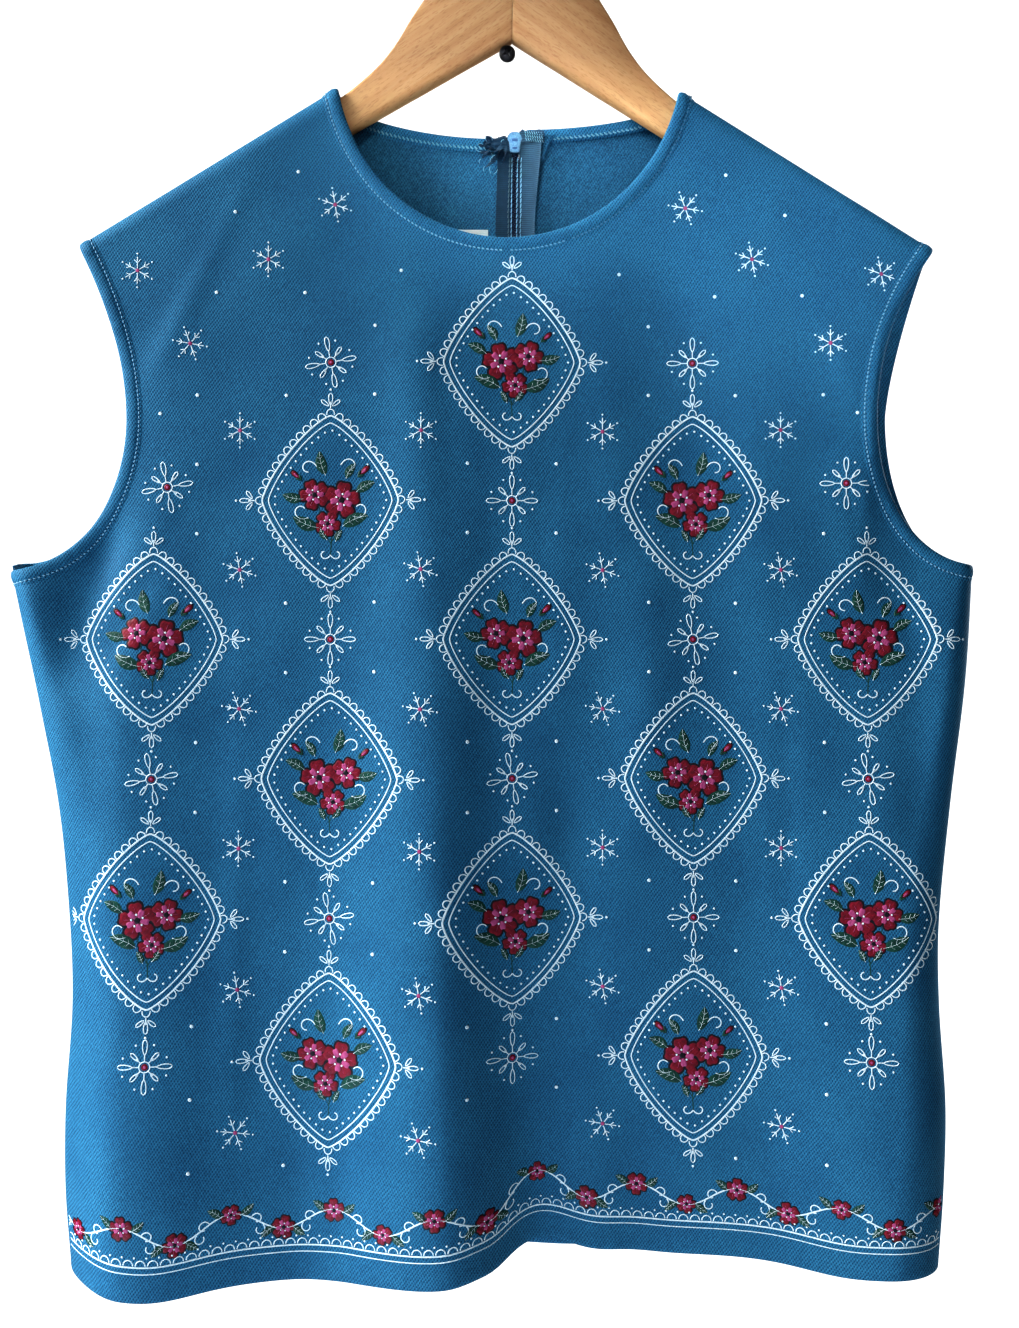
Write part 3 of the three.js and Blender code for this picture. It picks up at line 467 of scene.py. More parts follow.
class Shader:
    """A material's nodes, built step by step. Colours are given as 0 to 255."""

    def __init__(self, name, **surface):
        self.material = bpy.data.materials.new(name)
        self.material.use_nodes = True
        self.nodes = self.material.node_tree.nodes
        self.links = self.material.node_tree.links
        self.surface = self.nodes["Principled BSDF"]
        for socket, value in surface.items():
            self.surface.inputs[socket.replace("_", " ")].default_value = value
        self.place = self.node("ShaderNodeTexCoord").outputs["Object"]

    def node(self, kind, inputs=None, **settings):
        made = self.nodes.new(kind)
        for key, value in settings.items():
            setattr(made, key, value)
        for key, value in (inputs or {}).items():
            if isinstance(value, bpy.types.NodeSocket):
                self.links.new(value, made.inputs[key])
            else:
                made.inputs[key].default_value = value
        return made

    def turned(self, degrees, scale=(1, 1, 1), place=None):
        """Object coordinates, or those given, stretched and then turned about Y."""
        turn = (0, math.radians(degrees), 0)
        values = {"Vector": place or self.place, "Scale": scale, "Rotation": turn}
        return self.node("ShaderNodeMapping", values).outputs[0]

    def noise(self, vector, scale, detail=3.0, roughness=0.55, distortion=0.0):
        values = {"Vector": vector, "Scale": scale, "Detail": detail, "Roughness": roughness}
        return self.node("ShaderNodeTexNoise", {**values, "Distortion": distortion}).outputs[0]

    def waves(self, vector, period_mm, distortion=0.0, detail=1.0):
        """Stripes across X with that period."""
        scale = 2 * math.pi / (20 * period_mm * MM)  # the texture has 20 / (2 pi) stripes a unit
        values = {"Vector": vector, "Scale": scale, "Distortion": distortion, "Detail": detail}
        return self.node("ShaderNodeTexWave", {**values, "Detail Scale": 0.5}).outputs["Fac"]

    def ramp(self, value, *stops):
        """Colours at places from 0 to 1."""
        made = self.node("ShaderNodeValToRGB", {0: value})
        ramp = made.color_ramp
        while len(ramp.elements) < len(stops):
            ramp.elements.new(0.5)
        for element, (at, colour) in zip(ramp.elements, stops):
            element.position = at
            element.color = srgb(*colour)
        return made.outputs[0]

    def blend(self, share, a, b, how="MIX"):
        values = {0: share, 6: a, 7: b}  # the sockets of its colour mode
        return self.node("ShaderNodeMix", values, data_type="RGBA", blend_type=how).outputs[2]

    def colour(self, value):
        self.links.new(value, self.surface.inputs["Base Color"])

    def roughness(self, value, low, high):
        made = self.node("ShaderNodeMapRange", {"Value": value, "To Min": low, "To Max": high})
        self.links.new(made.outputs[0], self.surface.inputs["Roughness"])

    def bumps(self, *heights):
        """Bump layers, each (height, depth in mm, strength)."""
        below = {}
        for height, depth, strength in heights:
            values = {"Height": height, "Distance": depth * MM, "Strength": strength, **below}
            below = {"Normal": self.node("ShaderNodeBump", values).outputs[0]}
        self.links.new(below["Normal"], self.surface.inputs["Normal"])


TWILL = -38  # degrees: the cloth's fine ribs climb to the right
STITCH_LEAN = 28
RIB_PERIOD, STITCH_PERIOD = 1.5, 1.25


def knit_material(name, light, dark, ribs=1.0, mottle=0.5, sheen=0.06):
    """Double knit: fine ribs that climb to the right, stitches along them, and soft mottling."""
    tint = srgb(170, 205, 235)
    m = Shader(name, Specular_IOR_Level=0.2, Sheen_Weight=sheen, Sheen_Roughness=0.45, Sheen_Tint=tint)
    rib = m.waves(m.turned(TWILL), RIB_PERIOD, 2.0)
    stitch = m.waves(m.turned(STITCH_LEAN), STITCH_PERIOD, 1.6)
    soft = m.noise(m.place, 26, 4.0)
    fine = m.noise(m.place, 900, 2.0, 0.7)
    base = m.ramp(soft, (0.25, dark), (0.75, light))
    loops = m.blend(0.45, rib, stitch)
    groove = m.ramp(loops, (0.15, (84, 112, 140)), (0.5, (232, 238, 244)), (0.85, WHITE))
    cloth = m.blend(0.8 * ribs, base, groove, "MULTIPLY")
    fuzz = m.ramp(fine, (0.34, (138, 152, 168)), (0.66, WHITE))
    m.colour(m.blend(mottle, cloth, fuzz, "MULTIPLY"))
    m.roughness(soft, 0.66, 0.78)
    m.bumps((loops, 0.16, 0.7 * ribs), (fine, 0.09, 0.5))
    return m.material


def ink_material(name, light, dark, roughness=0.5):
    """Print that lies on the cloth: a little uneven, with the knit showing through it."""
    m = Shader(name, Specular_IOR_Level=0.4)
    patch = m.noise(m.place, 420, 3.0, 0.6)
    m.colour(m.ramp(patch, (0.3, dark), (0.62, light)))
    m.roughness(patch, roughness - 0.08, roughness + 0.12)
    ribs, grit = m.waves(m.turned(TWILL), RIB_PERIOD, 0.6), m.noise(m.place, 1600, 2.0)
    m.bumps((ribs, 0.06, 0.5), (grit, 0.05, 0.5))
    return m.material


def tape_material(name, light, dark):
    """Woven tape: fine cross ribs and a lengthwise twill."""
    m = Shader(name, Specular_IOR_Level=0.3, Sheen_Weight=0.08)
    weft, warp = m.waves(m.turned(90), 1.1, 0.3), m.waves(m.turned(35), 0.5, 0.3)
    tone = m.blend(0.5, weft, warp)
    m.colour(m.blend(0.25, m.ramp(tone, (0.1, dark), (0.8, light)), m.noise(m.place, 300), "OVERLAY"))
    m.roughness(tone, 0.6, 0.8)
    m.bumps((weft, 0.12, 0.7), (warp, 0.06, 0.5))
    return m.material


def thread_material(name, light, dark):
    """Sewing thread: the twist of its plies."""
    m = Shader(name, Specular_IOR_Level=0.45, Sheen_Weight=0.1)
    ply = m.waves(m.turned(40), 0.34, 0.2)
    m.colour(m.ramp(ply, (0.1, dark), (0.6, light)))
    m.roughness(ply, 0.45, 0.6)
    m.bumps((ply, 0.08, 0.8))
    return m.material


PAINTED_SHADE_SPAN = (-42, -8)  # painted shade greys the wood from this height to that


def wood_material(name, slope):
    """Clear-lacquered beech: long grain along the arm, short flecks, and painted shade that greys it where
    it is highest.
    """
    m = Shader(name, Specular_IOR_Level=0.22, Coat_Weight=0.03, Coat_Roughness=0.4)
    along = m.turned(slope)
    grain = m.noise(m.turned(0, (14, 60, 170), along), 1.0, 6.0, 0.62, 0.8)
    rings = m.waves(m.turned(84, (0.25, 1, 1), along), 8, 6.0, 2.5)
    flecks = m.noise(m.turned(0, (260, 900, 1500), along), 1.0, 2.0, 0.5)
    base = m.ramp(grain, (0.28, (194, 148, 101)), (0.52, (207, 166, 119)), (0.75, (214, 179, 134)))
    ringed = m.blend(0.13, base, m.ramp(rings, (0.2, (168, 112, 64)), (0.7, (218, 180, 134))))
    speckled = m.blend(0.25, ringed, m.ramp(flecks, (0.34, (160, 108, 66)), (0.46, WHITE)), "MULTIPLY")
    # Painted shade: the colour is multiplied by a light grey that grows from the lower height of the span
    # to the upper one.
    height = m.node("ShaderNodeSeparateXYZ", {0: m.place}).outputs["Z"]
    low, high = (z * MM for z in PAINTED_SHADE_SPAN)
    up = m.node("ShaderNodeMapRange", {"Value": height, "From Min": low, "From Max": high}).outputs[0]
    m.colour(m.blend(1.0, speckled, m.ramp(up, (0, WHITE), (1, (208, 208, 214))), "MULTIPLY"))
    m.roughness(grain, 0.46, 0.6)
    m.bumps((grain, 0.10, 0.3), (flecks, 0.05, 0.4))
    return m.material


def metal_material(name, light, dark, metallic, roughness, scratch=900):
    """Worn metal or enamel: fine scratches that change its colour and shine a little."""
    m = Shader(name, Metallic=metallic)
    worn = m.noise(m.place, scratch, 3.0, 0.6)
    m.colour(m.ramp(worn, (0.35, dark), (0.65, light)))
    m.roughness(worn, roughness - 0.06, roughness + 0.14)
    m.bumps((worn, 0.03, 0.4))
    return m.material


CLOTH_OUT = knit_material("knit_outside", (67, 141, 176), (55, 125, 162))
CLOTH_IN = knit_material("knit_inside", (58, 126, 160), (46, 110, 144), 0.8, 0.7, 0.03)
INK = {
    "pale": ink_material("print_pale_blue_white", (232, 244, 250), (206, 228, 240), 0.42),
    "crimson": ink_material("print_crimson", (134, 16, 44), (98, 8, 34)),
    "pink": ink_material("print_pink", (184, 88, 136), (154, 62, 112)),
    "green": ink_material("print_dark_green", (20, 78, 66), (8, 50, 48)),
    "dark": ink_material("print_dark_outline", (26, 16, 32), (14, 10, 24)),
}
THREAD = thread_material("topstitch_thread", (142, 190, 216), (92, 146, 184))
THREAD_INSIDE = thread_material("pale_thread", (132, 180, 200), (82, 132, 158))
# Darker copies of the topstitch thread: painted shade for the right part of the front's neckline row.
HALF_SHADED_THREAD = thread_material("thread_half_painted_shade", (110, 162, 194), (68, 122, 160))
PAINTED_SHADE_THREAD = thread_material("shaded_thread", (78, 136, 172), (44, 98, 136))
FAINT_THREAD = thread_material("slate_thread", (72, 102, 114), (46, 74, 88))
LABEL_THREAD = thread_material("label_thread", (232, 234, 236), (214, 218, 222))
WOOD = {"left": wood_material("beech_left_arm", 36), "right": wood_material("beech_right_arm", -36)}
TAPE = {
    "left": tape_material("zip_tape_slate", (20, 64, 90), (5, 36, 58)),
    "right": tape_material("zip_tape_grey_blue", (56, 94, 118), (22, 52, 76)),
}
COIL = metal_material("zip_coil_navy", (16, 40, 78), (6, 22, 50), 0.0, 0.6)
ENAMEL = metal_material("slider_blue_enamel", (108, 152, 186), (74, 120, 162), 0.3, 0.36)
ENAMEL_SHADE = metal_material("slider_slot_shade", (52, 96, 146), (36, 74, 120), 0.2, 0.5)
STEEL = metal_material("zip_stop_steel", (190, 194, 200), (140, 146, 154), 1.0, 0.32)
LABEL_CLOTH = tape_material("label_woven_white", (236, 238, 240), (206, 212, 218))
WIRE = metal_material("hook_wire", (168, 170, 174), (128, 131, 136), 1.0, 0.46, 500)
BLACK_SCREW = metal_material("black_screw", (34, 34, 37), (16, 16, 18), 0.75, 0.36, 700)


# ---- panels --------------------------------------------------------------------------------
HALF_COLUMNS, BODY_COUNT, YOKE_COUNT = 84, 190, 62  # cells across a half, up its body and its yoke
EDGE_CROWDING = 1.25  # columns lie closer together towards the outer edge


def half_grid(panel, side):
    """Plan points (rows, columns, 2) of a half panel."""
    s = 1 - (1 - np.linspace(0, 1, HALF_COLUMNS + 1)) ** EDGE_CROWDING
    v = np.concatenate([np.linspace(0, 1, BODY_COUNT + 1), 1 + np.linspace(0, 1, YOKE_COUNT + 1)[1:]])
    return pack(*plan_point(panel, side, s[None, :], v[:, None]))


def cloth_shell(name, panel, plan, quads, node):
    """A panel's cloth: the print side outside and the plain side inside."""
    used, quads = np.unique(quads, return_inverse=True)
    return two_sheets(
        name, panel, plan[used], quads.reshape(-1, 4), (FACE, -FACE), CLOTH_OUT, CLOTH_IN,
        slot="printed_knit", node=node,
    )


def front_panel():
    """Both halves in one grid of points; up to the neckline they share their centre line."""
    left, right = (half_grid("front", side) for side in SIDES)
    rows, columns = left.shape[:2]
    index = np.arange(rows * columns, 2 * rows * columns).reshape(rows, columns)
    index[: BODY_COUNT + 1, 0] = np.arange(BODY_COUNT + 1) * columns
    quads = np.concatenate([grid_quads(rows, columns)[:, ::-1], quads_of(index)])
    plan = np.concatenate([left.reshape(-1, 2), right.reshape(-1, 2)])
    return cloth_shell("front_cloth", "front", plan, quads, "front_panel")


def back_panel(side):
    grid = half_grid("back", side)
    quads = grid_quads(*grid.shape[:2])
    return cloth_shell(f"back_cloth_{side}", "back", grid.reshape(-1, 2), quads, f"back_panel_{side}")


# ---- turned edges --------------------------------------------------------------------------
def nose(centre, lift, radius):
    """Half a circle round a folded edge, from the outside to the inside."""
    turn = [math.radians(degrees) for degrees in range(90, 271, 30)]
    return [(centre + radius * math.cos(a), lift + radius * math.sin(a)) for a in turn]


# Sections of a turned edge: how far in from the edge, and the lift out of the cloth's middle.
STITCH_LINE = 6.9
TURNED_EDGE = [
    (9.4, 0.2), (8.6, 0.66), (7.7, 0.84), (STITCH_LINE, 0.52), (6.1, 1.06), (4.8, 1.42), (3.0, 1.5),
    (1.9, 1.42), *nose(1.1, -0.35, 1.6),
    (3.0, -2.0), (5.4, -2.0), (7.2, -1.9), (7.4, -1.2), (7.0, -0.3),
]
BOTTOM_EDGE = [
    (10.0, 0.45), (7.0, 0.64), (4.0, 0.74), (2.2, 0.76), *nose(1.0, -0.55, 1.27),
    (3.0, -1.86), (12.0, -1.8), (22.0, -1.85), (27.6, -1.75), (28.0, -1.2), (27.0, -0.3),
]
EDGE_MIDDLE = (3.6, -0.3)  # the rounded ends of an edge narrow towards this place of its section
EDGE_ROUNDING = 2.6
EDGE_STEP = 1.6
EDGE_UNEVEN = 0.06
SEAM_CLEAR = {"side": 0.2, "shoulder": 0.1}  # kept between a turned edge and a seam
SEAM_INSET, SEAM_RADIUS = 1.7, 1.15


def shoulder_z(x):
    """Height of the shoulder seams, each running on past its neck point."""
    lines = []
    for side in SIDES:
        (nx, nz), (tx, tz) = NECK_POINTS[side], SHOULDER_TIPS[side]
        lines.append(nz + (x - nx) * (tz - nz) / (tx - nx))
    return np.where(x < HEM_CENTRE_X, *lines)


def within_seams(plan):
    """Plan points, those beyond a side or shoulder seam moved back to it."""
    level = np.minimum(plan[..., 1], UNDERARM_Z)
    clear = SEAM_CLEAR["side"]
    x = np.clip(plan[..., 0], side_x("left", level) + clear, side_x("right", level) - clear)
    x = np.where(plan[..., 1] < UNDERARM_Z + 1, x, plan[..., 0])
    return x, np.minimum(plan[..., 1], shoulder_z(x) - SEAM_CLEAR["shoulder"])


def turned_edge(name, panel, path, turn, section, node):
    """A strip of cloth turned in along an edge of a panel, closed all round, with rounded ends."""
    path = resample(path, EDGE_STEP)
    length = np.linalg.norm(np.diff(path, axis=0), axis=1).sum()
    even = np.linspace(0, length, len(path))
    near = EDGE_ROUNDING * np.array([0.02, 0.08, 0.2, 0.4, 0.7])
    along = np.union1d(np.union1d(even, near), length - near)
    path = pack(*(np.interp(along, even, column) for column in path.T))
    full = quarter_round(along / EDGE_ROUNDING) * quarter_round((length - along) / EDGE_ROUNDING)
    full = np.clip(full, 0.12, 1)[:, None]
    uneven = 1 + EDGE_UNEVEN * np.sin(along * 0.56) * np.sin(along * 0.144)
    away, lift = np.array(section).T
    away = EDGE_MIDDLE[0] + (away[None] - EDGE_MIDDLE[0]) * np.maximum(full, 0.5)
    lift = EDGE_MIDDLE[1] + (lift[None] - EDGE_MIDDLE[1]) * full * uneven[:, None]
    x, z = within_seams(path[:, None] + normals_of(path, turn)[:, None] * away[..., None])
    points, faces = tube(cloth_point(panel, x, z, lift))
    return make(name, points, faces, CLOTH_OUT, slot="turned_edge", node=node, sharp=75)


def beside(path, turn, away):
    return path + normals_of(path, turn) * away


def stitches(name, panel, line, length, pitch, slant, lift, radius, thread=THREAD):
    """A row of short threads along a line, each dipping into the cloth at its ends."""
    centres = resample(line, pitch)[1:-1]
    way = way_along(centres)
    way = way * math.cos(slant) + pack(way[:, 1], -way[:, 0]) * math.sin(slant)
    t = np.linspace(-1, 1, 5)
    plan = centres[:, None] + way[:, None] * (t * length / 2)[None, :, None]
    threads = cloth_point(panel, plan[..., 0], plan[..., 1], lift - 2.0 * radius * t ** 4)
    make(name, *joined([sweep(path, radius, 6, 0.5) for path in threads]), thread)


def even_path(point, count):
    """A plan path with a point every millimetre, through point(t) for t from 0 to 1."""
    return resample(pack(*point(np.linspace(0, 1, count))), 1.0)


def front_neck_path():
    t = np.linspace(-1, 1, 400)
    left, right = (pack(*neck_point("front", side, np.abs(t))) for side in SIDES)
    return resample(np.where(t[:, None] < 0, left, right), 1.0)


def back_neck_path(side):
    return even_path(lambda t: neck_point("back", side, t), 300)


def armhole_path(panel, side):
    return even_path(lambda t: armhole_point(panel, side, t), 400)


def hem_path(panel, side=None):
    s = np.linspace(0, 1, 300)
    halves = {each: pack(*plan_point(panel, each, s, 0 * s)) for each in SIDES}
    whole = np.concatenate([halves["left"][::-1], halves["right"][1:]])
    return resample(halves[side] if side else whole, 1.0)


# The row round the front's neckline sinks in from its left end to its right, and its thread darkens that
# way with painted shade.
NECK_ROW = [
    {"name": "front_neck_stitches", "from_to": (0, 0.5), "lift": 0.95, "thread": THREAD},
    {"name": "front_neck_half_shaded_stitches", "from_to": (0.5, 0.62), "lift": 0.84, "thread": HALF_SHADED_THREAD},
    {"name": "front_neck_sunk_shaded_stitches", "from_to": (0.62, 1), "lift": 0.72, "thread": PAINTED_SHADE_THREAD},
]
TOPSTITCH = {"length": 1.5, "pitch": 2.4, "slant": 0.2, "lift": 0.95, "radius": 0.42}
INNER_STITCH = dict(TOPSTITCH, length=2.0, slant=0.7, lift=-2.25, thread=THREAD_INSIDE)
INNER_LINE = 5.6


def edges():
    """Every turned edge, with its topstitching."""
    hems = {panel: [] for panel in PANELS}

    def edge(panel, name, path, turn, section=TURNED_EDGE, node=None):
        hems[panel].append(turned_edge(name, panel, path, turn, section, node))

    neck = front_neck_path()
    edge("front", "front_neck_edge", neck, 1, node="neck_hem_front")
    for part in NECK_ROW:
        first, last = (int(share * len(neck)) for share in part["from_to"])
        row = dict(TOPSTITCH, lift=part["lift"], thread=part["thread"])
        stitches(part["name"], "front", beside(neck[first:last], 1, STITCH_LINE), **row)
    edge("front", "front_bottom_edge", hem_path("front"), -1, BOTTOM_EDGE)
    for side in SIDES:
        sign = SIGN[side]
        path = back_neck_path(side)
        edge("back", f"back_neck_edge_{side}", path, sign, node=f"neck_hem_back_{side}")
        stitches(f"back_neck_stitches_{side}", "back", beside(path, sign, STITCH_LINE), **TOPSTITCH)
        line = beside(path, sign, INNER_LINE)
        stitches(f"back_neck_inner_stitches_{side}", "back", line, **INNER_STITCH)
        edge("back", f"back_bottom_edge_{side}", hem_path("back", side), -sign, BOTTOM_EDGE)
        for panel in PANELS:
            hole = armhole_path(panel, side)
            edge(panel, f"{panel}_armhole_edge_{side}", hole, -sign, node=f"armhole_hem_{panel}_{side}")
            line = beside(hole, -sign, STITCH_LINE)
            stitches(f"{panel}_armhole_stitches_{side}", panel, line, **TOPSTITCH)
    return hems


def overlocked_seams():
    """The folded seam allowances inside the sides and shoulders, each a slightly wavy bead."""
    for side in SIDES:
        z = np.linspace(HEM_Z + 0.4, UNDERARM_Z - 3, 150)
        x = side_x(side, z) - SIGN[side] * SEAM_INSET
        path = pack(x, SEAM_Y + 0.15 * np.sin(z / 2.1), z)
        make(f"side_seam_{side}", *sweep(path, SEAM_RADIUS, 8), CLOTH_IN)
        (nx, nz), (tx, tz) = NECK_POINTS[side], SHOULDER_TIPS[side]
        t = np.linspace(0.03, 0.97, 90)
        x, z = mix(nx, tx, t), mix(nz, tz, t) - SEAM_INSET * 1.15
        path = pack(x, SHOULDER_SEAM_Y + 0.1 * np.sin(x / 2.1), z)
        make(f"shoulder_seam_{side}", *sweep(path, SEAM_RADIUS, 8), CLOTH_IN)


# ---- zip -----------------------------------------------------------------------------------
ZIP_SLIDER_END = ZIP["top_z"] - ZIP["slider"]
ZIP_END = ZIP["top_z"] - ZIP["length"]
ZIP_START_Z = -50
TEETH = {
    "pitch": 1.35, "lean": 0.22, "reach": 0.98, "middle": 1.15, "from_centre": 2.25, "lift": -2.1,
    "depth": 0.78, "wire": 0.4, "core": 0.55, "core_away": 1.25, "core_lift": -2.2,
}
# Each side of the zip: how far its allowance reaches and waves, and how far its tape's edges lie
# from the centre line, at its top and lower down. The tape stands off by up to `stand`.
STRIPS = {
    "left": {
        "tape_top": -49.5, "allowance": 13.4, "wave": 0.9, "phase": 0.4,
        "inner": (1.5, 2.2), "outer": (9.4, 10.2), "stand": 0.4,
    },
    "right": {
        "tape_top": -46.2, "allowance": 10.4, "wave": 0.4, "phase": 2.0,
        "inner": (2.4, 2.6), "outer": (14.6, 11.4), "stand": 2.4,
    },
}
TAPE_SPAN = 50  # the tapes' edges slant over this height below ZIP_START_Z
TAPE_CLOTH = {"below": 8, "lift": -2.75, "thickness": 0.7}
ALLOWANCE = {"top": -59.4, "below": 6, "inner": 2.4, "lift": -1.5, "thickness": 1.0}
ZIP_STITCH = {"length": 2.5, "pitch": 2.8, "slant": 0.15, "radius": 0.34}
BACK_STITCH = {"length": 2.2, "pitch": 2.9, "slant": 0.0, "radius": 0.3, "lift": FACE + 0.12}
BACK_LINE, BACK_LINE_BELOW = 8.2, 12  # the back's topstitching, beside the zip and below its end


def zip_x(z):
    """The zip's centre line, which runs to the middle of the hem."""
    return mix(ZIP["top_x"], HEM_CENTRE_X, (ZIP_START_Z - z) / (ZIP_START_Z - HEM_Z))


def tape_edge(side, edge, z):
    return mix(*STRIPS[side][edge], smooth((ZIP_START_Z - z) / TAPE_SPAN))


def slab(name, plan, lift, thickness, material, slot, node=None):
    """A piece of cloth on the back panel, over a grid of plan points, thinner at its edges."""
    rows, columns = plan.shape[:2]
    half = np.full((rows, columns), thickness / 2)
    half[:, [0, -1]] *= 0.35
    half[[0, -1], :] *= 0.35
    lifts = [(lift + half).ravel(), (lift - half).ravel()]
    quads, looks = grid_quads(rows, columns), {"slot": slot, "node": node, "sharp": 70}
    two_sheets(name, "back", plan.reshape(-1, 2), quads, lifts, material, **looks)


def strip_plan(side, top, bottom, inner, outer, columns):
    """Plan points of a strip beside the zip: inner and outer give its edges at heights z."""
    z = np.linspace(top, bottom, round((top - bottom) / 1.6) + 1)[:, None]
    share = (1 - np.cos(math.pi * np.linspace(0, 1, columns))) / 2
    away = inner(z) + (outer(z) - inner(z)) * share
    return pack(zip_x(z) + SIGN[side] * away, z)


def zip_strips(side):
    """Seam allowance, tape and coil of one side, with the lines of stitches on them."""
    strip = STRIPS[side]
    phase = strip["phase"]

    def waved(z):
        wave = np.sin(z * 0.31 + phase) + 0.6 * np.sin(z * 0.83 + 2 * phase)
        return strip["allowance"] + strip["wave"] * wave

    top, bottom = ALLOWANCE["top"], ZIP_END - ALLOWANCE["below"]
    allowance = strip_plan(side, top, bottom, lambda z: ALLOWANCE["inner"] + 0 * z, waved, 9)
    x, z = allowance[..., 0], allowance[..., 1]
    curl_up = 0.22 * np.clip((np.abs(x - zip_x(z)) - 9) / 4, 0, 1) * (1 + 0.6 * np.sin(z * 0.45 + phase))
    name, lift = f"zip_allowance_{side}", ALLOWANCE["lift"] - curl_up
    slab(f"{name}_cloth", allowance, lift, ALLOWANCE["thickness"], CLOTH_IN, "turned_edge", name)
    edges_at = [lambda z, edge=edge: tape_edge(side, edge, z) for edge in ("inner", "outer")]
    tape = strip_plan(side, strip["tape_top"], ZIP_END - TAPE_CLOTH["below"], *edges_at, 11)
    across = np.linspace(0, 1, 11)[None]
    uneven = 1 + 0.35 * np.sin(tape[..., 1] * 0.11 + phase)
    lift = TAPE_CLOTH["lift"] - strip["stand"] * across ** 2 * uneven
    name = f"zip_tape_{side}"
    slab(f"{name}_cloth", tape, lift, TAPE_CLOTH["thickness"], TAPE[side], name, name)
    zip_teeth(side)
    # Two rows: one along the coil, and one that follows the tape's inner edge.
    z = np.linspace(ZIP_SLIDER_END - 1, ZIP_END, 140)
    slanted = tape_edge(side, "inner", z) + np.where(z > -95, 1.1, 0.9)
    for row, (away, lift) in enumerate(((1.5, -3.5), (slanted, -3.2))):
        thread = FAINT_THREAD if (side, row) == ("left", 1) else THREAD
        line = pack(zip_x(z) + SIGN[side] * away, z)
        stitches(f"zip_stitches_{side}_{row}", "back", line, lift=lift, thread=thread, **ZIP_STITCH)


def zip_teeth(side):
    """The nylon coil of one side: loops across, over a straight core."""
    start = ZIP_SLIDER_END - 0.8
    late = TEETH["pitch"] / 2 if side == "left" else 0  # the two sides' teeth lie between each other
    turn = np.linspace(-0.35, math.pi + 0.35, 7)
    away = TEETH["from_centre"] - (TEETH["middle"] + TEETH["reach"] * np.cos(turn))
    parts = []
    for height in np.arange(start, ZIP_END, -TEETH["pitch"]) - late:
        z = height + TEETH["lean"] * np.cos(turn)
        lift = TEETH["lift"] - TEETH["depth"] * np.sin(turn)
        loop = cloth_point("back", zip_x(z) + SIGN[side] * away, z, lift)
        parts.append(sweep(loop, TEETH["wire"], 6, 0.25))
    z = np.linspace(ZIP_SLIDER_END, ZIP_END, 90)
    core = cloth_point("back", zip_x(z) + SIGN[side] * TEETH["core_away"], z, TEETH["core_lift"])
    parts.append(sweep(core, TEETH["core"], 6))
    make(f"zip_teeth_{side}", *joined(parts), COIL, slot="zip_coil", node=f"zip_coil_{side}")


def plate_rings(outline, y_from, y_to, bevel):
    """Rings of a plate over a closed outline in (x, z), its edges rounded off by bevel."""
    ahead, behind = np.roll(outline, -1, axis=0), np.roll(outline, 1, axis=0)
    way = unit(ahead - behind)
    area = float((outline[:, 0] * ahead[:, 1] - ahead[:, 0] * outline[:, 1]).sum())
    inward = pack(-way[:, 1], way[:, 0]) * (1 if area > 0 else -1)
    edge = [(0, bevel), (0.3 * bevel, 0.3 * bevel), (bevel, 0)]
    levels = [(y_from + deep, inset) for deep, inset in edge]
    levels += [(y_to - deep, inset) for deep, inset in reversed(edge)]
    return np.array([np.insert(outline + inward * inset, 1, y, axis=1) for y, inset in levels])


def rounded_outline(corners, radius, steps):
    """A closed outline with each corner rounded."""
    corners = np.asarray(corners, float)
    outline = []
    for before, at, after in zip(np.roll(corners, 1, axis=0), corners, np.roll(corners, -1, axis=0)):
        reach = min(radius, np.linalg.norm(before - at) / 2.2, np.linalg.norm(after - at) / 2.2)
        start, end = at + unit(before - at) * reach, at + unit(after - at) * reach
        for t in np.linspace(0, 1, steps):
            outline.append((1 - t) ** 2 * start + 2 * t * (1 - t) * at + t * t * end)
    return np.array(outline)


def mirrored(points):
    return [*points, *[(-x, z) for x, z in reversed(points)]]


def plate(corners, radius, y_from, y_to, bevel):
    return tube(plate_rings(rounded_outline(corners, radius, 4), y_from, y_to, bevel))


def metal_piece(name, parts, place, material=ENAMEL, slot="slider_enamel", **rest):
    """A metal piece of the zip, made of plates and bars round its own middle and put in its place."""
    points, faces = joined(parts)
    make(name, points + place, faces, material, slot=slot, sharp=40, **rest)


# The slider, measured down from the zip's top, and its tab, down from the bail. Each plate has its
# outline in (x, z), its corners' radius, its y from and to, and its bevel.
CROWN = [(1.3, -0.1), (2.9, -0.7), (4.0, -2.4), (4.05, -4.2), (3.2, -5.8), (2.6, -7.2), (2.5, -11.5)]
OUTER = [(0.9, 0), (3.3, 0), (4.1, -1.0), (3.8, -4.6), (2.8, -7.4), (2.6, -11.5)]
NECK = [(0.9, -0.5), (1.1, -2.2), (0.5, -4.6)]
SLIDER_PLATES = [
    (CROWN, 0.9, -4.6, -3.5, 0.4), (OUTER, 0.6, -1.3, -0.2, 0.32), (NECK, 0.3, -4.2, -0.9, 0.1),
]
SLIDER_LIP = [(3.25, -5.6), (3.0, -7.4), (2.65, -11.2), (2.15, -11.2), (2.4, -7.4), (2.8, -5.8)]
LIP_LEVELS = [(-3.9, -2.9), (-1.9, -0.9)]
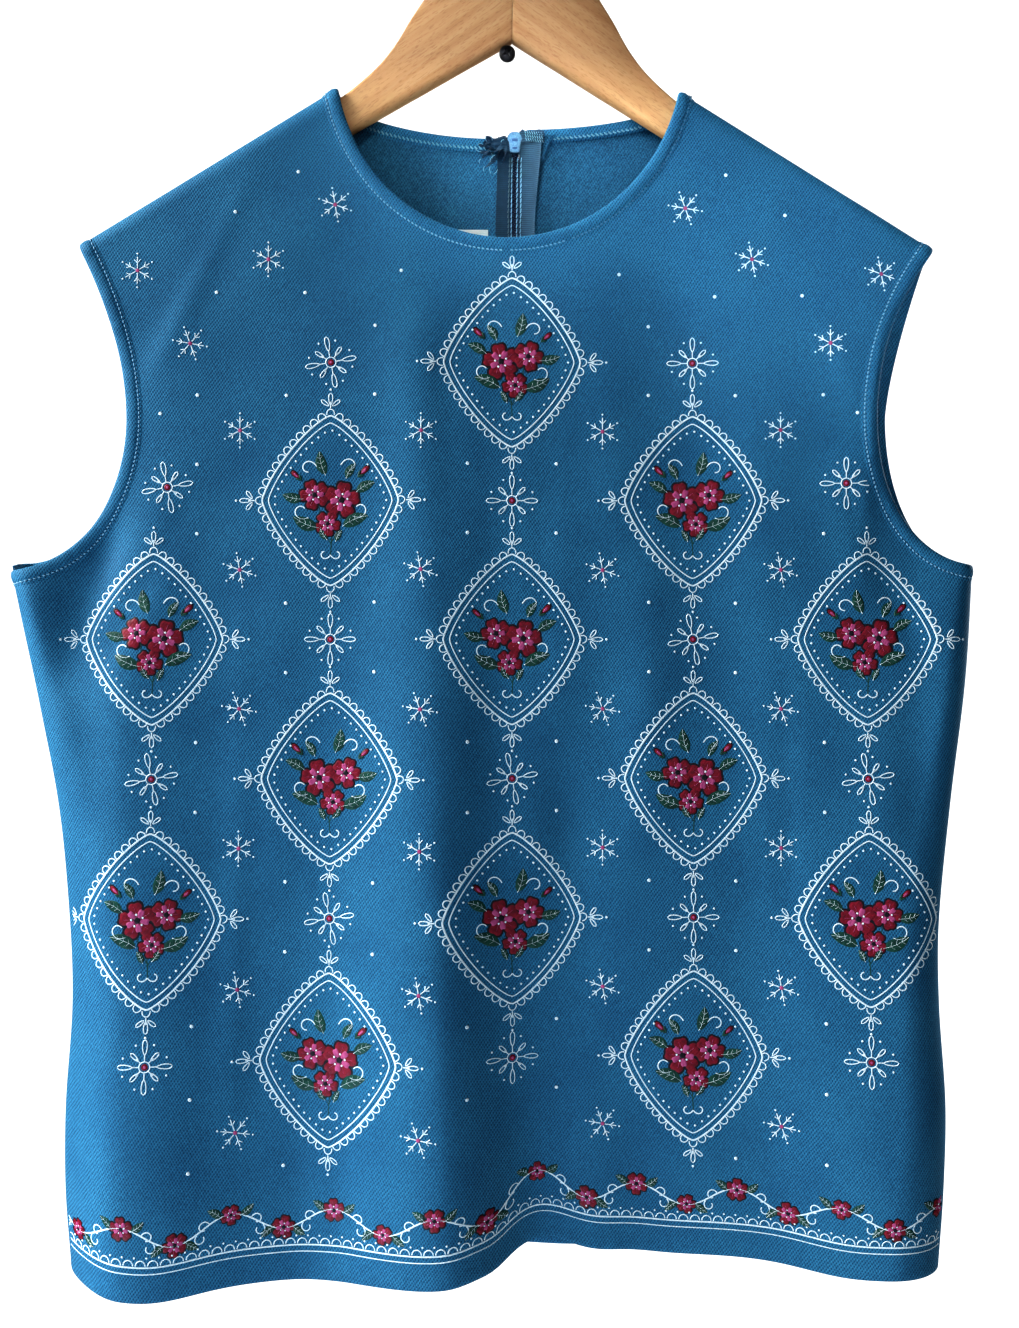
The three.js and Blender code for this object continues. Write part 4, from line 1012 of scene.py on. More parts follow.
# Sizes of the thin dark plates that paint the shade of the crown's slots:
SLOT_SHADE_SIZES = [(1.6, -3.9, -5.5), (1.35, -8.6, -9.7)]  # half width, top and bottom
BAIL = {"z": -51.5, "axis_out": 1.7, "foot_y": -0.5, "height": 3.9, "half_length": 2.1, "wire": 0.5}
TAB_HALF_THICKNESS = 0.5
TAB_EYE = [(1.6, 0.5), (2.7, 0.2), (2.6, -3.0), (2.2, -5.9), (1.2, -6.1)]
TAB_WINDOW = [(0.9, -0.6), (1.3, -0.9), (1.25, -4.2), (0.9, -4.6)]
TAB_BLADE = [(1.6, -5.6), (2.2, -6.6), (2.6, -12.5), (2.7, -16.4), (2.1, -18.2), (0.9, -19.0)]
TAB_RIM = {"middle": -12.3, "width": 0.72, "length": 0.8, "wire": 0.22}


def oblong(half, top, bottom):
    return [(-half, top), (half, top), (half, bottom), (-half, bottom)]


def zip_slider(x, y):
    """Slider: a crowned plate inside with side lips, a plate outside, a neck and a bail, and thin dark
    plates on the crown that paint the shade of its slots.
    """
    parts = [plate(mirrored(corners), *sizes) for corners, *sizes in SLIDER_PLATES]
    for sign in (-1, 1):
        for y_from, y_to in LIP_LEVELS:
            parts.append(plate([(sign * lip_x, z) for lip_x, z in SLIDER_LIP], 0.2, y_from, y_to, 0.1))
    turn = np.linspace(0, math.pi, 15)
    out = BAIL["foot_y"] + BAIL["height"] * np.sin(turn)
    along = BAIL["z"] - ZIP["top_z"] + BAIL["half_length"] * np.cos(turn)
    parts.append(sweep(pack(0.0, out, along), BAIL["wire"], 10))
    metal_piece("slider_detail", parts, (x, y, ZIP["top_z"]), node="zip_slider")
    # Painted shade: thin dark plates lie just over the crown where its slots would show dark; the crown has
    # no holes.
    slot_shade_plates = [plate(oblong(*sizes), 0.35, -4.66, -4.3, 0.05) for sizes in SLOT_SHADE_SIZES]
    metal_piece("slider_painted_slot_shade", slot_shade_plates, (x, y, ZIP["top_z"]), ENAMEL_SHADE)


def ring_plate(outline, window, y_from, y_to, bevel):
    """A plate with a window: both outlines are given as closed rings of one length."""
    outside, inside = (plate_rings(ring, y_from, y_to, bevel) for ring in (outline, window))
    inside[:, :, [0, 2]] = 2 * window[None] - inside[:, :, [0, 2]]
    skin = np.concatenate([outside, inside[::-1]])
    rings, count = skin.shape[:2]
    return skin.reshape(-1, 3), [grid_quads(rings + 1, count, ring=True) % (rings * count)]


def polar_ring(corners, count, radius):
    """A rounded outline again, as `count` points at even angles round its middle."""
    outline = rounded_outline(corners, radius, 8)
    middle = (outline.max(0) + outline.min(0)) / 2
    angle = np.unwrap(np.arctan2(*(outline - middle).T[::-1]))
    if angle[-1] < angle[0]:
        outline, angle = outline[::-1], angle[::-1]
    at = np.linspace(0, 2 * math.pi, count, endpoint=False)
    return pack(*(np.interp(at, angle, column, period=2 * math.pi) for column in outline.T))


def pull_tab(x, y):
    """The tab: an eye round the bail and a blade that widens to a round end with a raised rim."""
    half = TAB_HALF_THICKNESS
    eye, window = polar_ring(mirrored(TAB_EYE), 48, 0.7), polar_ring(mirrored(TAB_WINDOW), 48, 0.35)
    blade = rounded_outline(mirrored(TAB_BLADE), 0.8, 6)
    parts = [ring_plate(eye, window, -half, half, 0.25), tube(plate_rings(blade, -half, half, 0.3))]
    rim_z = (blade[:, 1] - TAB_RIM["middle"]) * TAB_RIM["length"] + TAB_RIM["middle"]
    rim = pack(blade[:, 0] * TAB_RIM["width"], half, rim_z)
    parts.append(sweep(np.concatenate([rim, rim[:1]]), TAB_RIM["wire"], 6))
    place = (x, y + BAIL["axis_out"], BAIL["z"])
    metal_piece("pull_tab_detail", parts, place, node="zip_pull_tab", body=PULL)


STOP = {"below": 2.0, "lift": -2.4, "half_width": 2.1, "half_height": 1.5, "half_depth": 0.8, "corner": 0.6}


def bottom_stop():
    """A clip bent round the ends of the coils."""
    z = ZIP_END - STOP["below"]
    x = float(zip_x(z))
    y = float(depth_at("back", np.array(x), np.array(z))) + STOP["lift"]
    height, depth = STOP["half_height"], STOP["half_depth"]
    clip = plate(oblong(STOP["half_width"], height, -height), STOP["corner"], -depth, depth, 0.45)
    metal_piece("stop_detail", [clip], (x, y, z), STEEL, "stop_metal", node="zip_bottom_stop")


def back_seam_stitches():
    """Topstitching on the outside, beside the zip and across below it."""
    low = ZIP_END - BACK_LINE_BELOW
    z = np.linspace(ZIP["top_z"] - 14, low, 200)
    lines = {side: pack(zip_x(z) + SIGN[side] * BACK_LINE, z) for side in SIDES}
    lines["end"] = pack(zip_x(low) + np.linspace(-BACK_LINE, BACK_LINE, 20), low)
    for name, line in lines.items():
        stitches(f"zip_topstitch_{name}", "back", line, **BACK_STITCH)


# The folded ends of the two tapes: plan span, lift, number of creases and their phase.
TAPE_ENDS = {
    "left": {"x": (-15.4, -3.2), "z": (-49.8, -57.2), "lift": -3.9, "creases": 9, "phase": 0.7},
    "right": {"x": (4.6, 18.2), "z": (-46.4, -52.6), "lift": -4.6, "creases": 5, "phase": 2.2},
}
# Narrow folded scraps of the left tape: points (x, z, lift), width and turns.
SCRAPS = [
    ([(-5, -55, -4.6), (-8.5, -58, -5.8), (-12, -59.4, -5), (-17.6, -57.8, -3.8)], 3.2, 0.5),
    ([(-6, -55, -4.4), (-7.6, -60, -6.2), (-10.6, -63.5, -5.4), (-14.2, -66.5, -4.4)], 2.8, 0.7),
    ([(-10, -54, -4.6), (-12.5, -57.4, -6.0), (-16.4, -61.5, -4.6)], 2.4, -0.6),
    ([(-4.2, -55, -4.4), (-3.6, -60, -5.6), (-5.6, -64.5, -4.4)], 2.6, 0.4),
    ([(-12, -52, -4.4), (-16, -55.4, -5.2), (-18.6, -53.4, -3.8)], 2.2, 0.5),
]
# Loose threads: x, z, way in degrees, length, bend and lift.
FRAYED = [
    (-16, -54, 160, 3.5, 1.2, -4.3), (-14, -52.5, 120, 3, -1.0, -4.4), (-11, -52, 80, 3.4, 1.4, -4.5),
    (-16.8, -58, 190, 4, -1.4, -4.2), (-17, -62, 205, 3, 1.8, -4.2), (-12, -66, 250, 4.5, 1.0, -4.4),
    (-8, -67.5, 262, 4, -1.3, -4.4), (-15, -66, 230, 3.2, 1.2, -4.3), (-6, -53, 75, 2.4, -1.5, -4.6),
    (-9, -60, 200, 6, 1.4, -4.9), (-13, -57, 320, 6, -1.2, -4.9),
]
TAPE_END_ROWS = (-47.4, -49.4, -51.4)
TAPE_END_STITCH = dict(length=2.0, pitch=1.3, slant=1.0, lift=-5.3, radius=0.2, thread=THREAD_INSIDE)


def crumpled_end(side):
    """The end of a tape, folded over and creased."""
    end = TAPE_ENDS[side]
    phase, creases = end["phase"], end["creases"]
    u, v = np.meshgrid(np.linspace(0, 1, 26), np.linspace(0, 1, 26))
    x = mix(*end["x"], u) + 0.7 * np.sin(v * 7 + phase) * (1 - u) + 0.4 * np.sin(u * 9 + phase)
    z = mix(*end["z"], v) + 0.6 * np.sin(u * 8 + phase)
    rise = 0.5 * np.sin(creases * u + 4 * v + phase) + 0.35 * np.sin(2 * creases * v - 3 * u) + 0.25
    lift = end["lift"] - 0.6 * rise
    slab(f"zip_tape_end_{side}", pack(x, z), lift, 0.55, TAPE[side], f"zip_tape_{side}")


def scrap(corners, width, turns):
    """A narrow folded strip along a line through its corners, twisted as it goes."""
    path = resample(np.array(corners, float), 0.5)
    for _ in range(3):
        path[1:-1] = (path[:-2] + 2 * path[1:-1] + path[2:]) / 4
    spine = cloth_point("back", *path.T)
    way = way_along(spine)
    side = unit(np.cross(way, (0.0, 1.0, 0.0)))
    other = np.cross(way, side)
    t = np.linspace(0, 1, len(path))
    lean = turns * 2 * math.pi * t[:, None]
    flat = side * np.cos(lean) + other * np.sin(lean)
    thin = other * np.cos(lean) - side * np.sin(lean)
    turn, size = circle(10), width / 2 * (1 - 0.5 * t ** 3)
    ring = flat[:, None] * (np.cos(turn) * size[:, None])[..., None]
    return tube(spine[:, None] + ring + thin[:, None] * (0.3 * np.sin(turn))[None, :, None])


def loose_thread(x, z, way, length, bend, lift):
    """A short curled thread that rises off the cloth in its middle."""
    count = 9
    path = curl((x, z), way, length * count / (count - 1), bend, steps=count)
    rise = 0.72 * np.sin(np.linspace(0, 1, count) * math.pi)
    return sweep(cloth_point("back", *path.T, lift - rise), 0.16, 5, 0.6)


def allowance_flap():
    """The right seam allowance, folded out beside the tape's end."""
    u, v = np.meshgrid(np.linspace(0, 1, 12), np.linspace(0, 1, 14))
    x = mix(14.5, mix(24.5, 17.5, v ** 0.8), u)
    rise = -2.6 - 1.3 * np.sin(math.pi * u * 0.8) * (1 - 0.4 * v)
    slab("allowance_flap", pack(x, mix(-49.5, -63.5, v) + 1.2 * u), rise, 0.9, CLOTH_IN, "turned_edge")


def zip_pieces():
    slider_x = zip_x(BAIL["z"])
    # The slider's y is that of the cloth beside it.
    slider_y = float(depth_at("back", np.array(slider_x + 6), np.array(BAIL["z"])))
    for side in SIDES:
        zip_strips(side)
    zip_slider(slider_x, slider_y)
    bottom_stop()
    back_seam_stitches()
    pull_tab(slider_x, slider_y)
    for side in SIDES:
        crumpled_end(side)
    make("zip_tape_scraps", *joined([scrap(*row) for row in SCRAPS]), TAPE["left"])
    allowance_flap()
    make("frayed_threads", *joined([loose_thread(*row) for row in FRAYED]), THREAD_INSIDE)
    x = np.linspace(6.0, 17.6, 40)
    for row, z in enumerate(TAPE_END_ROWS):
        line = pack(x + 0.3 * row, z - 0.12 * (x - 6))
        stitches(f"tape_end_stitches_{row}", "back", line, **TAPE_END_STITCH)


LABEL = {"x": (-51, -13.3), "z": (-100, -116), "lift": -1.2, "thickness": 0.5}
LABEL_SEAM = {"down": 1.6, "inset": 1.2}
LABEL_STITCH = dict(length=2.0, pitch=2.6, slant=0.0, lift=-1.6, radius=0.22, thread=LABEL_THREAD)


def label():
    """Bare woven label, sewn down along its top."""
    u, v = np.meshgrid(np.linspace(0, 1, 24), np.linspace(0, 1, 14))
    plan = pack(mix(*LABEL["x"], u), mix(*LABEL["z"], v))
    lift = LABEL["lift"] - 0.35 * v ** 2 * (1 + 0.4 * np.sin(u * 6))
    slab("label_detail", plan, lift, LABEL["thickness"], LABEL_CLOTH, "label_cloth", "label")
    left, right = LABEL["x"]
    x = np.linspace(left + LABEL_SEAM["inset"], right - LABEL_SEAM["inset"], 60)
    stitches("label_stitches", "back", pack(x, LABEL["z"][0] - LABEL_SEAM["down"]), **LABEL_STITCH)


# ---- hanger, hook and screw ----------------------------------------------------------------
HANGER = {"half_thickness": 5.3, "corner": 3.2}
HOOK = {
    "wire": 1.9, "loop": 21, "loop_z": 97, "from": -38, "to": 196,
    "base_z": 52.3, "stem_top": 64, "lead": 9,
}
SCREW = {
    "place": (-2.6, -4.6, -6.95), "head": 4.45, "dome": 1.9, "head_height": 3.0, "shank": 2, "length": 9.5,
    "thread_pitch": 1.3, "recess": 2.5, "recess_turn": 0.5, "recess_arm": 0.62, "recess_depth": (1.9, 1.0),
}
# Sections of an arm: distance from the middle, top and bottom.
ARM_SECTIONS = np.array([
    (0.15, 52, 0), (8, 51.6, -4.8), (16, 50, -9.6), (25, 46.2, -14.9), (34, 39.7, -20.3),
    (42, 31.2, -25.1), (49, 20.9, -29.3), (56, 9.9, -33.4), (61, 1, -36.4), (65, -5.3, -38.8),
    (72, -14.3, -43), (81, -23.2, -48.4), (92, -32.2, -54.9), (112, -44.6, -66.4), (140, -62.4, -81.8),
    (170, -81.2, -98.6), (198, -99, -114.4), (213, -109, -122), (219, -113.6, -123.4),
    (222, -116.6, -121.4),
])


def tilted(points):
    """The hanger hangs a little lower on its right."""
    x, y, z = points[..., 0], points[..., 1], points[..., 2]
    return pack(x * math.cos(TILT) + z * math.sin(TILT), y, z * math.cos(TILT) - x * math.sin(TILT))


def hanger_arm(side):
    """One arm: rings along its sections, their corners rounder below than above."""
    first, last = 0.02, ARM_SECTIONS[-1, 0]
    ends = [first, first + 0.35], last - np.array([2, 1.1, 0.4, 0])
    x = np.concatenate([ends[0], np.linspace(first + 1.2, last - 3, 150), ends[1]])
    table = dict(zip(("z", "top", "bottom"), (ARM_SECTIONS * (-1, 1, 1)).T))
    top, bottom = (read_table(table, column, -x) for column in ("top", "bottom"))
    shrink = np.zeros((len(x), 1))
    shrink[0] = 0.3
    height = (top - bottom)[:, None]
    turn = circle(28) + math.pi / 28
    quarter = np.floor(turn / (math.pi / 2)).astype(int)
    out = np.where((quarter == 0) | (quarter == 3), 1, -1)
    upper = quarter < 2
    radius = np.minimum(HANGER["corner"], height * 0.45)
    under = np.minimum(HANGER["half_thickness"] * 0.93, height * 0.5)
    corner = np.where(upper, radius, under)
    centre_z = np.where(upper, top[:, None] - shrink - corner, bottom[:, None] + shrink + corner)
    y = out * (HANGER["half_thickness"] - shrink) + corner * (np.cos(turn) - out)
    rings = pack(SIGN[side] * x[:, None], y, centre_z + corner * np.sin(turn))
    points, faces = tube(tilted(rings))
    make(f"{side}_arm_wood", points, faces, WOOD[side], slot="beech", node=f"hanger_arm_{side}", sharp=60)


def hook():
    """Wire hook: a stem, a bend to the right and a loop open to the left, its end rounded off."""
    start, stop = math.radians(HOOK["from"]), math.radians(HOOK["to"])
    turn = np.linspace(start, stop, 70)
    loop = pack(np.cos(turn), np.sin(turn)) * HOOK["loop"] + (0, HOOK["loop_z"])
    a = np.array([0.0, HOOK["stem_top"]])
    b = a + (0, HOOK["lead"])
    c = loop[0] - np.array([-math.sin(start), math.cos(start)]) * HOOK["lead"]
    t = np.linspace(0, 1, 16)[1:-1, None]
    bend = (1 - t) ** 3 * a + 3 * t * (1 - t) ** 2 * b + 3 * t * t * (1 - t) * c + t ** 3 * loop[0]
    stem = pack(0.0, np.linspace(HOOK["base_z"], HOOK["stem_top"], 8))
    wire = sweep(np.insert(np.concatenate([stem, bend, loop]), 1, 0, axis=1), HOOK["wire"], 16)
    end, way = loop[-1], np.array([-math.sin(stop), math.cos(stop)])
    cap = np.array([end + way * s for s in (-0.6, 0.3, 0.9)])
    points, faces = joined([wire, sweep(np.insert(cap, 1, 0, axis=1), HOOK["wire"] * 0.9, 16, 0.5)])
    make("hook_detail", tilted(points), faces, WIRE, slot="hook_wire", node="hanger_hook", sharp=40)


def wall_screw():
    """Pan-head screw with a cross recess, its shank threaded towards the wall."""
    head, shank, length, height = SCREW["head"], SCREW["shank"], SCREW["length"], SCREW["head_height"]
    turn = circle(96)
    r = np.concatenate([np.linspace(0, 2.8, 26), np.linspace(3.0, head - 0.02, 12)])[:, None]
    x, z = r * np.cos(turn), r * np.sin(turn)
    dome = SCREW["dome"] * (1 - np.sqrt(np.clip(1 - (r / head * 0.985) ** 4, 0, 1)))
    c, s = np.cos(SCREW["recess_turn"]), np.sin(SCREW["recess_turn"])
    from_arms = np.minimum(np.abs(c * x + s * z), np.abs(c * z - s * x))
    in_arm = smooth((SCREW["recess_arm"] - from_arms) / 0.22) * smooth((SCREW["recess"] - r) / 0.5)
    deep = mix(*SCREW["recess_depth"], np.clip(r / SCREW["recess"], 0, 1))
    face = pack(x, dome + np.maximum(in_arm, smooth((1.15 - r) / 0.4)) * deep, z)
    outline = [(head, 2.2), (head, 2.75), (head - 0.25, height), (shank, height)]
    for along in np.linspace(3.4, length - 0.4, 80):
        core = (shank - 0.2) * min(1, (length - along) / 5) + 0.05
        outline.append((core + 0.15 * math.cos(along * 2 * math.pi / SCREW["thread_pitch"]), along))
    outline.append((0.06, length))
    back = [pack(radius * np.cos(turn), along, radius * np.sin(turn)) for radius, along in outline]
    points, faces = tube(np.concatenate([face[1:], np.array(back)]))
    points = points + SCREW["place"]
    make("screw_detail", points, faces, BLACK_SCREW, slot="black_screw", node="wall_screw", sharp=35)


# ---- printed pattern -----------------------------------------------------------------------
# A plain half-drop ornament: lozenge frames that hold small posies, stars between them, and a
# running vine above the hem. Shapes are drawn in mm round their own middles, then placed.
LAYER = {"under": 0.08, "base": 0.16, "over": 0.25, "top": 0.34, "line": 0.24}
PRINT_EDGE = -0.05  # a shape's border lies this far under the cloth's face
CIRCLE = np.linspace(0, 2 * math.pi, 40)


def stroke(path, width, ink="pale", layer="line"):
    return {"ink": ink, "path": np.asarray(path, float), "width": width, "lift": LAYER[layer]}


def fill(outline, ink, layer):
    return stroke(outline, 0, ink, layer)


def dot(x, z, radius, ink="pale", layer="line"):
    turn = CIRCLE[:-1:3]
    return fill(pack(x + radius * np.cos(turn), z + radius * np.sin(turn)), ink, layer)


def heading(degrees):
    """The way along +X, turned by degrees."""
    return np.array([math.cos(math.radians(degrees)), math.sin(math.radians(degrees))])


def placed(shapes, x, z, degrees=0, size=1.0, flip=False):
    """The shapes turned, sized and moved to a place."""
    c, s = heading(degrees) * size
    moved = []
    for shape in shapes:
        path = shape["path"] * ((-1, 1) if flip else (1, 1))
        path = path @ np.array([[c, s], [-s, c]]) + (x, z)
        moved.append(dict(shape, path=path, width=shape["width"] * size ** 0.5))
    return moved


def curl(start, degrees, length, bend, tighten=1.0, steps=24):
    """A path that leaves a point and curls, more and more where tighten is above 1."""
    angle = math.radians(degrees) + bend * np.linspace(0, 1, steps) ** tighten
    way = pack(np.cos(angle), np.sin(angle)) * length / steps
    return np.array(start) + np.concatenate([[[0, 0]], np.cumsum(way[:-1], axis=0)])


def petal(length, width, notch, turn, base):
    """Outline of a petal that points up from `base`, turned by degrees."""
    t = np.linspace(0, 2 * math.pi, 27)[:-1]
    x = width / 2 * np.sin(t) * (0.78 - 0.22 * np.cos(t))
    dip = notch * length * np.exp(-((np.sin(t) / 0.38) ** 2)) * (np.cos(t) < 0)
    z = base + length / 2 * (1 - np.cos(t)) - dip
    c, s = heading(turn)
    return pack(x * c - z * s, x * s + z * c)


# Petals: length, width, notch, turn and base, as shares of a blossom's radius or a bud's size.
BLOSSOM_PETALS = [
    (1.1, 1.16, 0.1, 0, 0, "dark", "under"), (0.86, 0.92, 0.12, 0, 0.14, "crimson", "base"),
    (0.56, 0.42, 0.14, 36, 0.1, "pink", "over"),
]
BUD_PETALS = [
    (1, 0.56, 0, 0, 0.1, "dark", "under"), (0.84, 0.42, 0, 0, 0.16, "crimson", "base"),
    (0.5, 0.2, 0, 0, 0.3, "pink", "over"), (0.5, 0.2, 0, -24, -0.04, "green", "top"),
    (0.5, 0.2, 0, 24, -0.04, "green", "top"),
]


def petals(rows, size, turn=0):
    return [
        fill(petal(size * length, size * width, notch, turn + more, size * base), ink, layer)
        for length, width, notch, more, base, ink, layer in rows
    ]


def blossom(radius):
    """Five notched petals with a dark edge, five small ones over them and a pale-dotted middle."""
    shapes = []
    for turn in range(0, 360, 72):
        shapes += petals(BLOSSOM_PETALS, radius, turn)
        shapes.append(stroke(curl((0, 0), turn + 90, radius * 0.72, 0.2), 0.5, "pink", "over"))
        shapes.append(dot(*(heading(turn + 90) * radius * 0.3), radius * 0.06, "pale", "top"))
    return [*shapes, dot(0, 0, radius * 0.17, "dark", "top")]


def leaf(length, width):
    """A pointed leaf along +Z with a pale midrib and side veins."""
    t = np.linspace(0, 1, 15)
    half = width / 2 * np.sin(math.pi * t ** 0.85) ** 0.8
    spine = 0.25 * length * t * (1 - t)
    right, left = pack(spine + half, t * length), pack(spine - half, t * length)[::-1][1:-1]
    rib = pack(spine, t * length * 0.94)
    shapes = [fill(np.concatenate([right, left]), "green", "base"), stroke(rib, 0.5, "pale", "over")]
    for k in (4, 7, 10):
        for sign in (-1, 1):
            tip = rib[k] + (sign * half[k] * 0.62, length * 0.1)
            shapes.append(stroke([rib[k], (rib[k] + tip) / 2 + (0, -0.1), tip], 0.4, "pale", "over"))
    return shapes


def bud(size):
    return petals(BUD_PETALS, size)


# A posy's stems (start, way, length, bend, width), leaves (x, z, turn, length, width), tendrils
# (x, z, turn, length, bend), and its buds and blossoms (x, z, turn, size).
STEMS = [((0, -31), 92, 30, 0.15, 0.9), ((0, -24), 60, 26, 0.5, 0.7), ((0, -24), 122, 24, -0.5, 0.7)]
LEAVES = [
    (-7, -14, 68, 17, 8), (7, -15, -66, 17, 8), (-15, 6, 62, 13, 6.4), (16, 2, -78, 13, 6.4),
    (3, 16, -14, 15, 7), (-9, 14, 32, 11, 5.4), (2, -22, -30, 9, 4.4), (-3, -23, 28, 8, 4),
]
TENDRILS = [
    (-13, -8, 200, 19, -4.6), (13, -9, -20, 19, 4.6), (-6, 22, 120, 17, 4.4),
    (8, 21, 55, 17, -4.4), (0, -31, 235, 11, -4.2), (0, -31, -55, 11, 4.2),
]
FLOWERS = [
    (bud, -16, 15, 46, 9), (bud, 17, 13, -48, 8), (blossom, -6.5, 1.5, 10, 11.5),
    (blossom, 9.5, 4.5, -22, 9.6), (blossom, 1.8, -12.5, 30, 8.2),
]


def posy():
    """Three blossoms, two buds, leaves and tendrils, about 44 mm wide."""
    shapes = [stroke(curl(*stem), width, "green", "under") for *stem, width in STEMS]
    for x, z, turn, length, width in LEAVES:
        shapes += placed(leaf(length, width), x, z, turn)
    shapes += [stroke(curl((x, z), *way, 1.4), 0.85) for x, z, *way in TENDRILS]
    for flower, x, z, turn, size in FLOWERS:
        shapes += placed(flower(size), x, z, turn)
    return shapes


def lozenge_path(half_width, half_height, step):
    """A rounded diamond, closed, with points about `step` apart."""
    power = 1.3
    t = np.linspace(0, 2 * math.pi, 241)
    x, z = np.cos(t), np.sin(t)
    size = (np.abs(x) ** power + np.abs(z) ** power) ** (-1 / power)
    return resample(pack(x * size * half_width, z * size * half_height), step)


def lozenge():
    """Twin lines with loops outside, dots inside, and a small fan at each tip."""
    shapes = [stroke(lozenge_path(37, 46, 1.2), 1.1), stroke(lozenge_path(33.6, 42, 1.2), 0.8)]
    loops = lozenge_path(38, 47, 5.2)
    turn = np.linspace(-0.25, math.pi + 0.25, 9)[:, None]
    for at, out in zip(loops[:-1], normals_of(loops, 1)[:-1]):
        side = np.array([-out[1], out[0]])
        shapes.append(stroke(at + side * np.cos(turn) * 2.1 + out * np.sin(turn) * 2.6, 0.75))
    shapes += [dot(x, z, 0.62) for x, z in lozenge_path(30.4, 38.2, 4.4)[:-1]]
    for degrees, reach in ((0, 50.5), (180, 50.5), (90, 41.5), (-90, 41.5)):
        shapes += placed(sprig(), *(reach * heading(degrees + 90)), degrees)
    return shapes


def looped(length, width, turn, base):
    """The outline of a petal, drawn as a line."""
    outline = petal(length, width, 0.0, turn, base)
    return stroke(np.concatenate([outline, outline[:1]]), 0.7)


def sprig():
    """Three drops on a short stem, along +Z."""
    drops = ((0, 6.5), (52, 5.2), (-52, 5.2))
    shapes = [looped(length, length * 0.42, turn, 1.2) for turn, length in drops]
    return [stroke([(0, -0.5), (0, 3)], 0.8), *shapes, dot(0, 9.6, 0.7)]


def star(radius, rays=8):
    """Rays with leaf-shaped loops round a ringed middle, and dots between their tips."""
    shapes = []
    for k in range(rays):
        turn = 360 / rays * k
        reach = radius * (1 if k % 2 == 0 else 0.72)
        shapes.append(looped(reach * 0.56, reach * 0.22, turn, reach * 0.44))
        shapes.append(stroke([heading(turn + 90) * radius * q for q in (0.2, 0.45)], 0.7))
        shapes.append(dot(*(heading(turn + 90 + 180 / rays) * radius * 0.86), 0.6))
    shapes.append(stroke(pack(np.cos(CIRCLE), np.sin(CIRCLE)) * radius * 0.2, 0.7))
    shapes.append(dot(0, 0, radius * 0.13, "crimson", "base"))
    return [*shapes, dot(0, 0, radius * 0.06, "pink", "over")]


def small_star():
    """Six barbed rays with dots at their tips."""
    shapes = []
    for k in range(6):
        way = heading(60 * k + 30)
        side = np.array([-way[1], way[0]])
        shapes.append(stroke([way * 1.2, way * 7.5], 0.7))
        shapes += [stroke([way * 4.2, way * 6 + side * 1.7 * sign], 0.6) for sign in (-1, 1)]
        shapes.append(dot(*(way * 9.2), 0.55))
    return [*shapes, dot(0, 0, 1.1, "pink", "base")]


VINE = {"half_length": 250, "wave": 27, "height": 5, "scallop": 6.2, "above_hem": 32}
VINE_LINES = [(-14, 1.0), (-17.4, 0.7)]  # height and width


def vine():
    """The border above the hem: a waving stem with blossoms, leaves and curls, over two lines."""
    end, wave = VINE["half_length"], VINE["wave"]
    x = np.arange(-end, end + 1, 1.2)
    shapes = [stroke(pack(x, z), width) for z, width in VINE_LINES]
    turn = np.linspace(0, math.pi, 9)
    for at in np.arange(2 - end, end, VINE["scallop"]):
        shapes.append(stroke(pack(at + 2.5 * np.cos(turn), -13.2 + 2.8 * np.sin(turn)), 0.7))
        shapes.append(dot(at + 3.1, -9.2, 0.55))
    shapes.append(stroke(pack(x, VINE["height"] * np.sin(x * math.pi / wave)), 1.0))
    for k in range(-10, 10):
        middle, up = wave * (k + 0.5), 1 if k % 2 == 0 else -1
        shapes += placed(blossom(6.6 if k % 3 else 5.6), middle, 4.5 * up, 17 * k)
        lean = -52 if up > 0 else -128
        for side in (-1, 1):
            shapes += placed(leaf(9, 4.4), middle + side * 4.6, 3.6 * up, side * lean)
            start, way = (middle + side * 10.5, 2.2 * up), 90 * up - side * 38
            shapes.append(stroke(curl(start, way, 11.5, -4.6 * side * up, 1.2), 0.75))
    return shapes


def crossed(xs, zs):
    return [(x, z) for x in xs for z in zs]


LOZENGES = crossed([0], [-178, -328, -478]) + crossed([-98, 98], [-253, -403, -553])
LOZENGES += crossed([-193, 191], [-328, -478])
STARS = crossed([0], [-253, -403, -553]) + crossed([-98, 98], [-178, -328, -478])
STARS += crossed([-193, 191], [-403, -553]) + [(-186, -246), (180, -244)]
SMALL_STARS = crossed([-49, 49], [-215.5, -290.5, -365.5, -440.5, -515.5, -590])
SMALL_STARS += crossed([-147, 145], [-215, -290.5, -365.5, -440.5, -515.5, -590])
SMALL_STARS += [(-132, -122), (130, -122), (-174, -168), (172, -168)]
SMALL_STARS += [(-96, -92), (94, -94), (-203, -128), (200, -130)]
DOTS = crossed([-74, -24, 24, 74], np.arange(-158, -600, -37.5))
DOTS += crossed([-122, 121, -170, 168], np.arange(-196, -610, -37.5))
DOTS += [(-112, -140), (110, -142), (-150, -96), (148, -98), (-160, -140), (157, -142), (-116, -74)]
DOTS += [(116, -76), (-190, -206), (186, -206), (-60, -128), (58, -130), (-222, -300), (212, -300)]


def in_the_open(x, z):
    """True outside every lozenge and star, with room to spare."""
    away = [abs((x - a) / 44) ** 1.3 + abs((z - b) / 54) ** 1.3 > 1.12 for a, b in LOZENGES]
    for stars, radius in ((STARS, 20), (SMALL_STARS, 14)):
        away += [math.hypot(x - a, z - b) > radius for a, b in stars]
    return all(away)


